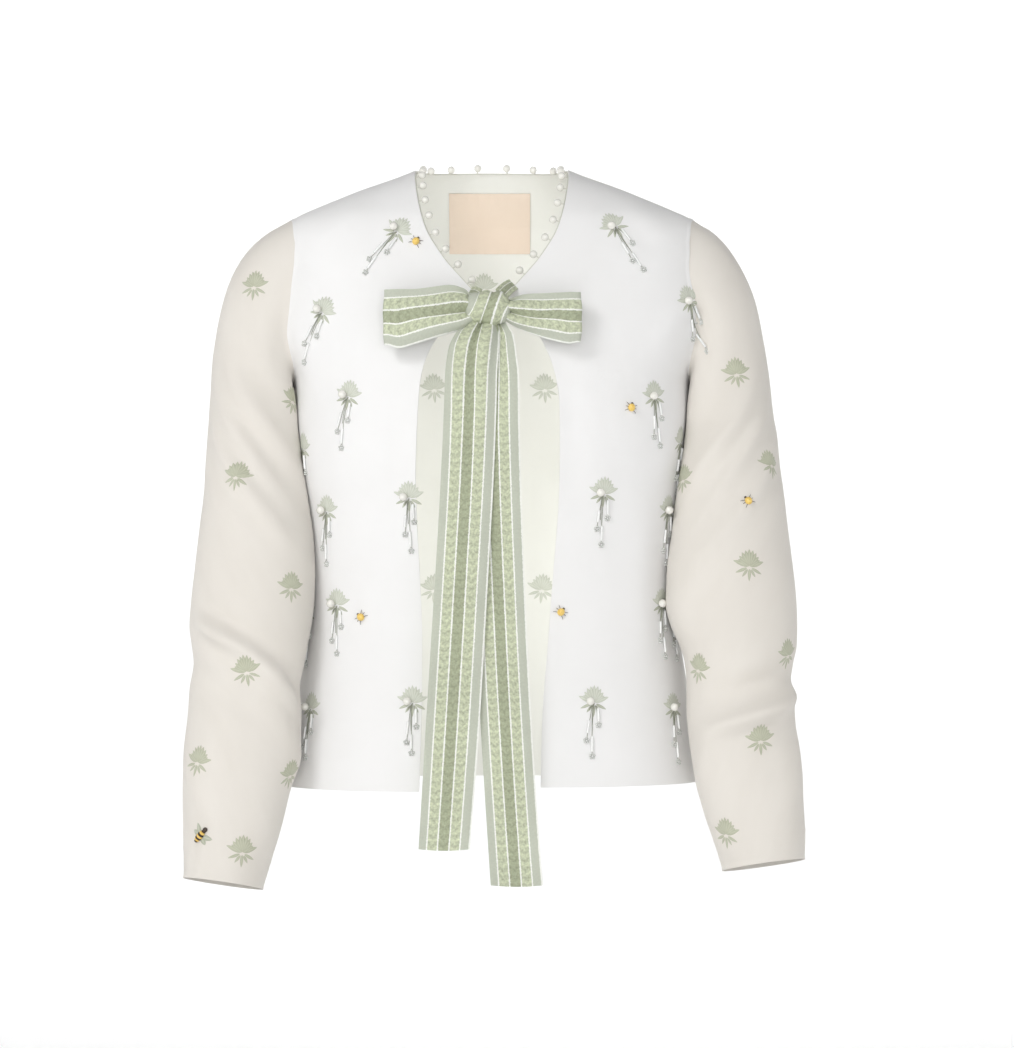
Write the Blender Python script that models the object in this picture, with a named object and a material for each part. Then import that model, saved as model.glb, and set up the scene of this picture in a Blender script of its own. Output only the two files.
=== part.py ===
# Collarless jacket-style blouse in its worn, hollow form: two open fronts, a back, set-in sleeves,
# a pearl neck edging and a ribbon bow that ties the fronts together at the neck.
# Right and left are the wearer's: the wearer's left is at +X, the front of the garment at -Y.
# The origin is midway between the two shoulder neck points, where the blouse hangs on its wearer.

import math
from collections import namedtuple

import bmesh
import bpy
from mathutils import Vector

MM = 0.001

RIGHT, LEFT = -1, 1

# Driving sizes, in millimetres.
FRONT_WALL = 1.6
BACK_WALL = 1.4
SLEEVE_WALL = 1.1
RIBBON_WALL = 1.0
LABEL_WALL = 0.6
SEAM = 0.3
HEM_HEIGHT = {RIGHT: -574, LEFT: -570}
BACK_HEM_HEIGHT = -575
UNDERARM_HEIGHT = -200
SHOULDER_TIP_HEIGHT = -47
BACK_NECK_RISE = 3.5
PEARL = 7.0
MOTIF_PEARL = 7.6

# Grid counts: rows run up a panel, columns run round the body.
BODY_ROWS = 11
YOKE_ROWS = 14
FRONT_COLUMNS = 11
BACK_COLUMNS = 24
SHOULDER_COLUMNS = 5
TURNS = 2 * YOKE_ROWS
CAP_RINGS = 6

# The form that the blouse hangs on, as level sections of a rounded rectangle. A section that is
# wider than high has a roundness over 2. Near the neck each half width lies on the shoulder seam.
Section = namedtuple("Section", "height half_width front_depth back_depth roundness")
FORM = [
    Section(-600, 200, 116, 103, 2.55),
    Section(-574, 197, 115, 101, 2.55),
    Section(-500, 184, 111, 94, 2.55),
    Section(-411, 174, 109, 88, 2.5),
    Section(-330, 176, 116, 92, 2.5),
    Section(-255, 181, 123, 98, 2.5),
    Section(-200, 184, 119, 100, 2.4),
    Section(-150, 203, 111, 101, 2.35),
    Section(-110, 207.5, 103, 98, 2.3),
    Section(-85, 207, 96.5, 94.5, 2.25),
    Section(-68, 204.5, 91, 91, 2.2),
    Section(-57, 199, 87, 88.5, 2.2),
    Section(-47, 187, 83, 86, 2.2),
    Section(-36, 164, 76, 80, 2.2),
    Section(-25, 137, 69, 74, 2.2),
    Section(-14, 108, 61, 67, 2.2),
    Section(-6, 86, 55, 62, 2.2),
    Section(0, 71, 50, 58, 2.2),
    Section(4, 62, 47, 55, 2.2),
]

# The free edge of each front, from the hem up to the corner where the ribbon is sewn on.
EdgePoint = namedtuple("EdgePoint", "height from_centre")
FRONT_EDGE = {
    RIGHT: [
        EdgePoint(-574, 65.5),
        EdgePoint(-479, 63),
        EdgePoint(-435, 63),
        EdgePoint(-375, 65),
        EdgePoint(-330, 67.5),
        EdgePoint(-285, 68.5),
        EdgePoint(-250, 67.5),
        EdgePoint(-208, 65),
        EdgePoint(-184, 61),
        EdgePoint(-163, 51),
        EdgePoint(-148, 36),
        EdgePoint(-136, 22),
        EdgePoint(-124, 13),
    ],
    LEFT: [
        EdgePoint(-570, 44.5),
        EdgePoint(-510, 46),
        EdgePoint(-442, 51),
        EdgePoint(-383, 55.5),
        EdgePoint(-345, 58.5),
        EdgePoint(-307, 61),
        EdgePoint(-260, 62),
        EdgePoint(-222, 61.5),
        EdgePoint(-184, 55),
        EdgePoint(-163, 45),
        EdgePoint(-148, 34),
        EdgePoint(-136, 22),
        EdgePoint(-124, 13),
    ],
}

# The front neckline, from that corner up to the shoulder neck point.
NECKLINE = [
    EdgePoint(-124, 13),
    EdgePoint(-116, 20),
    EdgePoint(-106, 29),
    EdgePoint(-92, 41.5),
    EdgePoint(-81, 49),
    EdgePoint(-71, 55.5),
    EdgePoint(-60, 61),
    EdgePoint(-41, 66.5),
    EdgePoint(-25, 69.5),
    EdgePoint(-10, 71.5),
    EdgePoint(0, 71),
]

# The armhole seam, from the underarm up to the shoulder tip. Headings are degrees round the body
# from the centre front; the back one is measured from the centre back.
ArmholePoint = namedtuple("ArmholePoint", "rise height front_heading back_heading")
ARMHOLE = [
    ArmholePoint(0.0, -200, 90, 90),
    ArmholePoint(0.12, -192, 79, 80),
    ArmholePoint(0.25, -174, 70, 72),
    ArmholePoint(0.4, -148, 65, 67),
    ArmholePoint(0.55, -120, 61, 64.5),
    ArmholePoint(0.68, -96, 59, 64.5),
    ArmholePoint(0.79, -75, 60, 66),
    ArmholePoint(0.88, -59, 65, 70.5),
    ArmholePoint(0.94, -51, 73, 77),
    ArmholePoint(1.0, -47, 90, 90),
]

# Rings of each hanging sleeve: how far its outer and inner sides are from the garment's centre,
# how far forward its middle is, and half its depth. Near the cuff the rings lean with the forearm:
# the outer side is lifted by the side lift, and the front by the front lift.
ArmRing = namedtuple("ArmRing", "height outer inner forward half_depth side_lift front_lift")
ARM = {
    RIGHT: [
        ArmRing(-236, 262, 172, 15, 54, 0, 0),
        ArmRing(-272, 264.5, 170, 26, 53, 0, 0),
        ArmRing(-308, 267, 165.5, 39, 52, 0, 0),
        ArmRing(-341, 270, 163.5, 50, 52, 0, 0),
        ArmRing(-374, 273, 163.5, 59, 52, 0, 0),
        ArmRing(-402, 276, 164.5, 64, 52, 0, 0),
        ArmRing(-424, 277.5, 167, 67, 52, 0, 0),
        ArmRing(-443, 275, 170, 70, 51, 0, 0),
        ArmRing(-460, 273, 173, 73, 50, 0, 0),
        ArmRing(-481, 276, 177, 77, 49, 0, 1),
        ArmRing(-508, 278, 175, 81, 48, 0, 2),
        ArmRing(-540, 280, 175, 86, 46, 0, 3),
        ArmRing(-575, 280.5, 185, 91, 43.5, 1, 4),
        ArmRing(-608, 280, 193, 96, 41, 2, 5),
        ArmRing(-636, 279.5, 202, 101, 38.5, 3.5, 6),
        ArmRing(-658, 279, 209, 104, 37, 5, 6),
    ],
    LEFT: [
        ArmRing(-236, 261.5, 173, 15, 54, 0, 0),
        ArmRing(-272, 265.5, 170, 26, 53, 0, 0),
        ArmRing(-308, 270, 167, 39, 52, 0, 0),
        ArmRing(-341, 273.5, 164, 50, 52, 0, 0),
        ArmRing(-374, 277, 161, 59, 52, 0, 0),
        ArmRing(-402, 280, 161, 64, 52, 0, 0),
        ArmRing(-424, 281, 166, 67, 52, 0, 0),
        ArmRing(-443, 280, 174, 70, 51, 0, 0),
        ArmRing(-460, 277, 178.5, 73, 50, 0, 0),
        ArmRing(-479, 273, 180, 76, 49, 0, 1),
        ArmRing(-500, 277, 180, 79, 48, 0, 2),
        ArmRing(-528, 280, 181.5, 84, 46, 0, 3),
        ArmRing(-559, 282, 186, 88, 44, 1, 4),
        ArmRing(-590, 283.5, 194, 93, 41.5, 2, 5),
        ArmRing(-619, 284.5, 204, 97, 39.5, 3.5, 6),
        ArmRing(-641.5, 284, 211.5, 100, 38, 5, 6),
    ],
}
CAP_FULLNESS = {RIGHT: 1.0, LEFT: 0.78}
BODY_CLEARANCE = 5

# Largest folds of the sleeves: soft ridges and troughs that run from one place on the sleeve to
# another. Turns are degrees round the arm: 0 outer side, 90 front, 180 inner side, 270 back.
Fold = namedtuple("Fold", "start_turn start_height end_turn end_height half_width depth")
SLEEVE_FOLDS = {
    RIGHT: [
        Fold(20, -425, 150, -492, 11, -6.5),
        Fold(25, -400, 150, -462, 15, 3.5),
        Fold(30, -175, 135, -275, 14, -3),
        Fold(20, -215, 120, -330, 15, -3),
        Fold(205, -332, 330, -450, 15, -3.5),
        Fold(210, -420, 330, -500, 14, -4),
    ],
    LEFT: [
        Fold(-5, -482, 140, -520, 11, -6),
        Fold(5, -452, 150, -488, 14, 3.5),
        Fold(35, -190, 140, -300, 14, -3),
        Fold(15, -250, 120, -360, 15, -3),
        Fold(205, -310, 330, -450, 15, -4),
        Fold(210, -430, 330, -505, 14, -4),
    ],
}

# Pearls sewn on the fronts, one at the foot of each leaf motif: distance from the centre and height.
MotifPlace = namedtuple("MotifPlace", "from_centre height")
MOTIF_PEARLS = {
    RIGHT: [
        MotifPlace(89, -60),
        MotifPlace(158, -134),
        MotifPlace(134, -213),
        MotifPlace(79, -306),
        MotifPlace(154, -318),
        MotifPlace(145, -404),
        MotifPlace(76, -492),
        MotifPlace(169, -500),
    ],
    LEFT: [
        MotifPlace(109, -59),
        MotifPlace(179, -126),
        MotifPlace(146, -214),
        MotifPlace(98, -302),
        MotifPlace(160, -318),
        MotifPlace(154, -404),
        MotifPlace(89, -492),
        MotifPlace(165, -500),
    ],
}

# Pearls along the neck edge, on thread shanks: how many stand on each stretch between a front
# corner and a shoulder neck point, how far the first is from that corner, and how many are between
# the two shoulders.
PEARL_REACH = 6.2
NeckPearls = namedtuple("NeckPearls", "count from_corner")
NECK_PEARLS = {RIGHT: NeckPearls(10, 15), LEFT: NeckPearls(9, 27)}
BACK_NECK_PEARLS = 6

# The ribbon bow. Loop stations run from the knot out to the folded end.
KNOT_CENTRE = Vector((-3, -126, -136))
KNOT_HALF = Vector((19, 12.5, 15.5))
KNOT_SEGMENTS, KNOT_RINGS = 20, 10
LoopStation = namedtuple("LoopStation", "from_knot top bottom front_bulge back_gap")
BOW_LOOP = {
    RIGHT: [
        LoopStation(0, -126, -148, 2, 3),
        LoopStation(7, -118.5, -153.5, 6, 3.5),
        LoopStation(20, -115.5, -159, 9, 4),
        LoopStation(34, -116.5, -163.5, 10, 4.5),
        LoopStation(50, -118.5, -168, 9, 4.5),
        LoopStation(63, -119.5, -171.5, 7, 4.5),
        LoopStation(71, -120, -169.5, 5, 4),
    ],
    LEFT: [
        LoopStation(0, -129, -145.5, 2, 3),
        LoopStation(7, -127, -151.5, 5.5, 3.5),
        LoopStation(18, -124, -158, 8, 4),
        LoopStation(31, -122.5, -163, 9, 4.5),
        LoopStation(45, -121.5, -166, 8, 4.5),
        LoopStation(55, -121.5, -167.5, 6.5, 4.5),
        LoopStation(61, -122, -166.5, 5, 4),
    ],
}
LOOP_COLUMNS = 8
LOOP_FOLD_POINTS = 5

# Ribbon tails: side edges of the cloth and how far forward its middle lies at each height.
TailStation = namedtuple("TailStation", "height right_edge left_edge forward crown")
BOW_TAIL = {
    RIGHT: [
        TailStation(-148, -24, 6, 133, 3),
        TailStation(-158, -33, 7.5, 137, 5),
        TailStation(-172, -39, 7, 138.5, 4.5),
        TailStation(-195, -42, 5.5, 137.5, 3),
        TailStation(-230, -43, 4.5, 136, 2),
        TailStation(-290, -45.5, 2, 135, 1.5),
        TailStation(-370, -50, -2.5, 134, 2),
        TailStation(-450, -55, -7, 134, 1.5),
        TailStation(-530, -60, -12, 134, -1.5),
        TailStation(-600, -64, -17.5, 134, 1.5),
        TailStation(-624, -65.5, -19.5, 134, 1),
    ],
    LEFT: [
        TailStation(-149, -8, 12, 129, 2),
        TailStation(-160, -12, 20, 131, 3),
        TailStation(-176, -17, 22.5, 131.5, 3),
        TailStation(-200, -20, 25, 131, 2.5),
        TailStation(-240, -21.5, 25.5, 130.5, 2),
        TailStation(-300, -20, 27, 129.8, 1.5),
        TailStation(-380, -16.5, 30, 129.5, -1.2),
        TailStation(-460, -12.5, 33.5, 129.5, 1.5),
        TailStation(-540, -8, 38, 129.5, 2),
        TailStation(-620, -3, 43.5, 129.5, -1.5),
        TailStation(-657, -0.5, 46.5, 129.5, 1),
    ],
}
TAIL_COLUMNS = 8

# The sewn end of each tie: where its middle leaves the neck corner of its front and where it
# meets the knot, with half its width at both.
TieRoot = namedtuple("TieRoot", "sewn_x sewn_z knot_x knot_z sewn_half_width knot_half_width")
TIE_ROOT = {
    RIGHT: TieRoot(-19.5, -119.5, -11, -124, 4.5, 5.5),
    LEFT: TieRoot(20, -113, 8.5, -124, 6, 7),
}

LABEL_MIDDLE, LABEL_WIDTH, LABEL_TOP, LABEL_BOTTOM = -2.5, 78, -14, -70
LABEL_COLUMNS, LABEL_ROWS = 8, 4

Finish = namedtuple("Finish", "colour roughness metallic")
FRONT_CLOTH = Finish((0.90, 0.89, 0.88), 0.75, 0)
BACK_CLOTH = Finish((0.88, 0.87, 0.84), 0.75, 0)
SLEEVE_CLOTH = Finish((0.84, 0.80, 0.75), 0.7, 0)
RIBBON = Finish((0.48, 0.53, 0.36), 0.7, 0)
PEARL_COAT = Finish((0.86, 0.85, 0.80), 0.2, 0)
LABEL_SATIN = Finish((0.85, 0.68, 0.53), 0.4, 0)


def clear_scene():
    for thing in list(bpy.data.objects):
        bpy.data.objects.remove(thing)


def material(name, finish):
    made = bpy.data.materials.get(name)
    if made is None:
        made = bpy.data.materials.new(name)
        made.use_nodes = True
        shader = made.node_tree.nodes["Principled BSDF"]
        shader.inputs["Base Color"].default_value = (*finish.colour, 1)
        shader.inputs["Roughness"].default_value = finish.roughness
        shader.inputs["Metallic"].default_value = finish.metallic
    return made


def curve_through(knots, values, at):
    """The value at one place on a smooth curve through (knot, value) pairs that never overshoots."""
    if knots[0] > knots[-1]:
        knots, values = knots[::-1], values[::-1]
    at = min(max(at, knots[0]), knots[-1])
    gaps = [b - a for a, b in zip(knots, knots[1:])]
    rises = [(b - a) / gap for a, b, gap in zip(values, values[1:], gaps)]
    slopes = [rises[0]]
    for before, after in zip(rises, rises[1:]):
        slopes.append(0 if before * after <= 0 else 2 * before * after / (before + after))
    slopes.append(rises[-1])
    i = max(k for k in range(len(gaps)) if knots[k] <= at)
    t = (at - knots[i]) / gaps[i]
    start = (1 + 2 * t) * (1 - t) ** 2 * values[i] + t * (1 - t) ** 2 * gaps[i] * slopes[i]
    end = t * t * (3 - 2 * t) * values[i + 1] + t * t * (t - 1) * gaps[i] * slopes[i + 1]
    return start + end


def read_table(table, key, field, at):
    """One column of a table, read between its rows."""
    return curve_through([getattr(r, key) for r in table], [getattr(r, field) for r in table], at)


def point_along(points, share):
    """The point at a share of the length of a run of points."""
    lengths = [(b - a).length for a, b in zip(points, points[1:])]
    left = share * sum(lengths)
    for start, end, length in zip(points, points[1:], lengths):
        if left <= length:
            return start.lerp(end, left / length if length else 0)
        left -= length
    return points[-1].copy()


def form_point(side, heading, height):
    """A point of the form: heading in degrees from the centre front (0) to the centre back (180)."""
    half_width = read_table(FORM, "height", "half_width", height)
    roundness = read_table(FORM, "height", "roundness", height)
    depth = read_table(FORM, "height", "front_depth" if heading <= 90 else "back_depth", height)
    angle = math.radians(heading)
    across = abs(math.sin(angle)) ** (2 / roundness) * (1 if heading <= 180 else -1)
    along = -math.copysign(abs(math.cos(angle)) ** (2 / roundness), math.cos(angle))
    return Vector((side * half_width * across, depth * along, height))


def heading_at(from_centre, height):
    """The front heading whose point lies a distance from the centre."""
    half_width = read_table(FORM, "height", "half_width", height)
    roundness = read_table(FORM, "height", "roundness", height)
    share = min(max(from_centre / half_width, 0), 1)
    return math.degrees(math.asin(share ** (roundness / 2)))


def form_normal(side, heading, height):
    """The outward direction of the form's surface."""
    turn, rise = 0.5, 0.5
    middle = min(max(heading, turn), 180 - turn) if heading <= 180 else heading
    if abs(middle - 90) < turn:
        middle = 90
    round_body = form_point(side, middle + turn, height) - form_point(side, middle - turn, height)
    upward = form_point(side, middle, height + rise) - form_point(side, middle, height - rise)
    return (round_body.cross(upward) * side).normalized()


def shares(count):
    return [i / count for i in range(count + 1)]


def inset(grid, gap):
    """Draws a grid's outer rows and columns in by a seam gap."""
    moved = [[p.copy() for p in row] for row in grid]
    last_row, last_column = len(grid) - 1, len(grid[0]) - 1
    for r, row in enumerate(grid):
        for c, p in enumerate(row):
            if c in (0, last_column):
                inner = row[1] if c == 0 else row[last_column - 1]
                moved[r][c] += (inner - p).normalized() * gap
            if r in (0, last_row):
                inner = grid[1][c] if r == 0 else grid[last_row - 1][c]
                moved[r][c] += (inner - p).normalized() * gap
    return moved


def add_object(name, mesh_data, finish_name, finish):
    made = bpy.data.objects.new(name, mesh_data)
    bpy.context.collection.objects.link(made)
    mesh_data.materials.append(material(finish_name, finish))
    mesh_data.shade_smooth()
    mesh_data.set_sharp_from_angle(angle=math.radians(80))
    return made


def closed_mesh(name, vertices, faces):
    """A mesh in metres from points in millimetres, with its faces turned outward."""
    mesh = bpy.data.meshes.new(name)
    mesh.from_pydata([tuple(v * MM) for v in vertices], [], faces)
    builder = bmesh.new()
    builder.from_mesh(mesh)
    bmesh.ops.recalc_face_normals(builder, faces=builder.faces)
    builder.to_mesh(mesh)
    builder.free()
    return mesh


def cloth_wall(name, outer, inner, finish_name, finish, tube=False):
    """A sheet of cloth: an outer and an inner grid of points, closed round the edges.
    A tube's columns run right round, so it is closed at its two end rings only."""
    rows, columns = len(outer), len(outer[0])
    vertices = [p for row in outer for p in row] + [p for row in inner for p in row]
    under = rows * columns

    def at(r, c):
        return r * columns + c % columns

    faces = []
    for r in range(rows - 1):
        for c in range(columns if tube else columns - 1):
            a, b, d, e = at(r, c), at(r, c + 1), at(r + 1, c + 1), at(r + 1, c)
            if (vertices[a] - vertices[d]).length <= (vertices[b] - vertices[e]).length:
                halves = [(a, b, d), (a, d, e)]
            else:
                halves = [(a, b, e), (b, d, e)]
            for half in halves:
                faces.append(half)
                faces.append(tuple(under + i for i in reversed(half)))
    border = [(at(0, c), at(0, c + 1)) for c in range(columns if tube else columns - 1)]
    border += [(at(rows - 1, c + 1), at(rows - 1, c)) for c in range(columns if tube else columns - 1)]
    if not tube:
        border += [(at(r + 1, 0), at(r, 0)) for r in range(rows - 1)]
        border += [(at(r, columns - 1), at(r + 1, columns - 1)) for r in range(rows - 1)]
    faces += [(b, a, under + a, under + b) for a, b in border]
    return add_object(name, closed_mesh(name, vertices, faces), finish_name, finish)


def armhole_place(rise, face):
    """Heading and height of the armhole seam, on the front or the back of the body."""
    height = read_table(ARMHOLE, "rise", "height", rise)
    heading = read_table(ARMHOLE, "rise", face, rise)
    return (heading if face == "front_heading" else 180 - heading), height


def armhole_point(side, turn):
    """A point of the armhole at a turn round the arm: 0 shoulder tip, 90 front, 180 underarm."""
    turn = turn % 360
    face = "front_heading" if turn <= 180 else "back_heading"
    rise = 1 - turn / 180 if turn <= 180 else (turn - 180) / 180
    heading, height = armhole_place(rise, face)
    return form_point(side, heading, height)


def edge_place(points, share):
    """Heading and height at a share of the way along an edge in the front view."""
    flat = [Vector((p.from_centre, 0, p.height)) for p in points]
    found = point_along(flat, share)
    return heading_at(found.x, found.z), found.z


def yoke_corner_row():
    return round(YOKE_ROWS * 5 / 14)


def front_places(side):
    """Headings and heights of a front's grid, from the hem up to the shoulder seam."""
    edge = FRONT_EDGE[side]
    hem = HEM_HEIGHT[side]
    grid = []
    for share in shares(BODY_ROWS)[:-1]:
        height = hem + (UNDERARM_HEIGHT - hem) * share
        start = heading_at(read_table(edge, "height", "from_centre", height), height)
        grid.append([(start + (90 - start) * c, height) for c in shares(FRONT_COLUMNS)])
    first = EdgePoint(UNDERARM_HEIGHT, read_table(edge, "height", "from_centre", UNDERARM_HEIGHT))
    upper_edge = [first] + [p for p in edge if p.height > UNDERARM_HEIGHT + 3]
    corner_row = yoke_corner_row()
    for row in range(YOKE_ROWS + 1):
        if row <= corner_row:
            start = edge_place(upper_edge, row / corner_row)
        else:
            start = edge_place(NECKLINE, (row - corner_row) / (YOKE_ROWS - corner_row))
        if row == YOKE_ROWS:
            start = (90, 0)
        end = armhole_place(row / YOKE_ROWS, "front_heading")
        grid.append(
            [
                (start[0] + (end[0] - start[0]) * c, start[1] + (end[1] - start[1]) * c)
                for c in shares(FRONT_COLUMNS)
            ]
        )
    return grid


def back_neck_place(share):
    """The back neckline, from the shoulder neck point (0) to the centre back (1)."""
    return 90 + 90 * share, BACK_NECK_RISE * math.sin(share * math.pi / 2) ** 2


def back_places():
    """Headings and heights of half the back, from its side seam to its centre, from the hem up.
    Its top edge is the shoulder seam followed by the back neckline."""
    half = BACK_COLUMNS // 2
    top = [(90, SHOULDER_TIP_HEIGHT * (1 - i / SHOULDER_COLUMNS)) for i in range(SHOULDER_COLUMNS)]
    top += [back_neck_place(share) for share in shares(half - SHOULDER_COLUMNS)]
    grid = []
    for share in shares(BODY_ROWS)[:-1]:
        height = BACK_HEM_HEIGHT + (UNDERARM_HEIGHT - BACK_HEM_HEIGHT) * share
        grid.append([(90 + 90 * c, height) for c in shares(half)])
    for rise in shares(YOKE_ROWS):
        side_heading, side_height = armhole_place(rise, "back_heading")
        straight_height = UNDERARM_HEIGHT + (SHOULDER_TIP_HEIGHT - UNDERARM_HEIGHT) * rise
        line = []
        for c, (top_heading, top_height) in zip(shares(half), top):
            foot_heading = 90 + 90 * c
            heading = foot_heading + (top_heading - foot_heading) * rise
            height = UNDERARM_HEIGHT + (top_height - UNDERARM_HEIGHT) * rise
            heading += (1 - c) * (side_heading - 90)
            height += (1 - c) * (side_height - straight_height)
            line.append((heading, height))
        grid.append(line)
    return grid


def make_front(name, side):
    places = front_places(side)
    outer = [[form_point(side, h, z) for h, z in row] for row in places]
    normals = [[form_normal(side, h, z) for h, z in row] for row in places]
    outer = inset(outer, SEAM / 2)
    inner = [[p - n * FRONT_WALL for p, n in zip(*pair)] for pair in zip(outer, normals)]
    return cloth_wall(name, outer, inner, "front cloth", FRONT_CLOTH)


def make_back(name):
    outer, normals = [], []
    for line in back_places():
        row = [(RIGHT, *place) for place in line] + [(LEFT, *place) for place in line[-2::-1]]
        outer.append([form_point(*place) for place in row])
        normals.append([form_normal(*place) for place in row])
    outer = inset(outer, SEAM / 2)
    inner = [[p - n * BACK_WALL for p, n in zip(*pair)] for pair in zip(outer, normals)]
    return cloth_wall(name, outer, inner, "back cloth", BACK_CLOTH)


def clear_of_body(point, gap):
    """Moves a point outward, level with itself, until it clears the body by a gap."""
    height = min(max(point.z, FORM[0].height), UNDERARM_HEIGHT)
    half_width = read_table(FORM, "height", "half_width", height)
    depth = read_table(FORM, "height", "front_depth" if point.y <= 0 else "back_depth", height)
    roundness = read_table(FORM, "height", "roundness", height)
    reach = (abs(point.x) / (half_width + gap)) ** roundness + (abs(point.y) / (depth + gap)) ** roundness
    reach = reach ** (1 / roundness)
    if reach >= 1:
        return point
    return Vector((point.x / reach, point.y / reach, point.z))


def ring_point(side, ring, turn):
    angle = math.radians(turn)
    middle, half_width = (ring.outer + ring.inner) / 2, (ring.outer - ring.inner) / 2
    point = Vector(
        (
            side * (middle + half_width * math.cos(angle)),
            -ring.forward - ring.half_depth * math.sin(angle),
            ring.height + ring.side_lift * math.cos(angle) + ring.front_lift * math.sin(angle),
        )
    )
    return clear_of_body(point, BODY_CLEARANCE)


def cap_point(side, turn, share):
    """A point of the sleeve cap: a curve from the armhole seam out and down to the first ring."""
    start = armhole_point(side, turn)
    end = ring_point(side, ARM[side][0], turn)
    facing = 0.5 + 0.5 * math.cos(math.radians(turn))
    reach = (end - start).length
    leave = Vector((side * 0.93, -0.08 * math.sin(math.radians(turn)), -0.37))
    leave *= reach * (0.55 + 0.7 * facing) * CAP_FULLNESS[side]
    arrive = Vector((side * 0.06, -0.2, -1)) * reach * (0.8 + 0.25 * facing)
    t = share
    point = start * (2 * t**3 - 3 * t**2 + 1) + leave * (t**3 - 2 * t**2 + t)
    return point + end * (3 * t**2 - 2 * t**3) + arrive * (t**3 - t**2)


def fold_offset(folds, turn, height):
    """How far the folds push the cloth out of (or, below zero, into) its smooth form."""
    total = 0
    millimetres_per_degree = 0.9
    for fold in folds:
        span_turn = (fold.end_turn - fold.start_turn) * millimetres_per_degree
        span_height = fold.end_height - fold.start_height
        length = math.hypot(span_turn, span_height)
        from_start = ((turn - fold.start_turn + 180) % 360 - 180) * millimetres_per_degree
        drop = height - fold.start_height
        along = (from_start * span_turn + drop * span_height) / length**2
        across = (from_start * span_height - drop * span_turn) / length
        if -0.2 < along < 1.2:
            taper = math.cos((along - 0.5) / 0.7 * math.pi / 2) ** 2
            total += fold.depth * taper * math.exp(-((across / fold.half_width) ** 2))
    return total


def make_sleeve(name, side):
    turns = [360 * i / TURNS for i in range(TURNS)]
    rings = [[cap_point(side, turn, share) for turn in turns] for share in shares(CAP_RINGS)]
    rings += [[ring_point(side, ring, turn) for turn in turns] for ring in ARM[side][1:]]
    rings[0] = [p + (q - p).normalized() * SEAM for p, q in zip(rings[0], rings[1])]
    normals = []
    last = len(rings) - 1
    for r, ring in enumerate(rings):
        above, below = rings[max(r - 1, 0)], rings[min(r + 1, last)]
        row = []
        for c in range(TURNS):
            round_arm = ring[(c + 1) % TURNS] - ring[c - 1]
            row.append((round_arm.cross(below[c] - above[c]) * side).normalized())
        normals.append(row)
    for r, ring in enumerate(rings):
        for c, turn in enumerate(turns):
            if 0 < r < last:
                push = fold_offset(SLEEVE_FOLDS[side], turn, ring[c].z)
                ring[c] = clear_of_body(ring[c] + normals[r][c] * push, BODY_CLEARANCE)
    inner = [[p - n * SLEEVE_WALL for p, n in zip(*pair)] for pair in zip(rings, normals)]
    return cloth_wall(name, rings, inner, "sleeve cloth", SLEEVE_CLOTH, tube=True)


def strip_wall(name, rows, wall, finish_name, finish):
    """A ribbon from rows of points along the middle of its cloth."""
    outer, inner = [], []
    last_row, last_column = len(rows) - 1, len(rows[0]) - 1
    for r, row in enumerate(rows):
        outer_row, inner_row = [], []
        for c, p in enumerate(row):
            across = row[min(c + 1, last_column)] - row[max(c - 1, 0)]
            along = rows[min(r + 1, last_row)][c] - rows[max(r - 1, 0)][c]
            normal = across.cross(along).normalized()
            outer_row.append(p + normal * wall / 2)
            inner_row.append(p - normal * wall / 2)
        outer.append(outer_row)
        inner.append(inner_row)
    return cloth_wall(name, outer, inner, finish_name, finish)


def knot_reach(axis, first, second):
    """How far the knot reaches along an axis from its centre, at two offsets along the others."""
    others = [i for i in range(3) if i != axis]
    used = (first / KNOT_HALF[others[0]]) ** 2 + (second / KNOT_HALF[others[1]]) ** 2
    return KNOT_HALF[axis] * math.sqrt(max(1 - used, 0))


def make_knot(name):
    """The knot: a rounded lump with the turns of the ribbon as slanting ridges."""
    rows = []
    for r in range(1, KNOT_RINGS):
        polar = math.pi * r / KNOT_RINGS
        row = []
        for c in range(KNOT_SEGMENTS):
            angle = 2 * math.pi * c / KNOT_SEGMENTS
            ridge = 1 - 0.035 * (1 + math.cos(3 * angle + 2.2 * polar))
            row.append(
                KNOT_CENTRE
                + Vector(
                    (
                        KNOT_HALF.x * ridge * math.cos(polar),
                        KNOT_HALF.y * ridge * math.sin(polar) * math.cos(angle),
                        KNOT_HALF.z * ridge * math.sin(polar) * math.sin(angle),
                    )
                )
            )
        rows.append(row)
    ends = [KNOT_CENTRE + Vector((KNOT_HALF.x * 0.95 * way, 0, 0)) for way in (1, -1)]
    vertices = [p for row in rows for p in row] + ends
    faces = []
    for r in range(len(rows) - 1):
        for c in range(KNOT_SEGMENTS):
            d = (c + 1) % KNOT_SEGMENTS
            a, b = r * KNOT_SEGMENTS, (r + 1) * KNOT_SEGMENTS
            faces += [(a + c, a + d, b + d), (a + c, b + d, b + c)]
    last = (len(rows) - 1) * KNOT_SEGMENTS
    for c in range(KNOT_SEGMENTS):
        d = (c + 1) % KNOT_SEGMENTS
        faces += [(len(vertices) - 2, d, c), (len(vertices) - 1, last + c, last + d)]
    return add_object(name, closed_mesh(name, vertices, faces), "ribbon", RIBBON)


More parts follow.
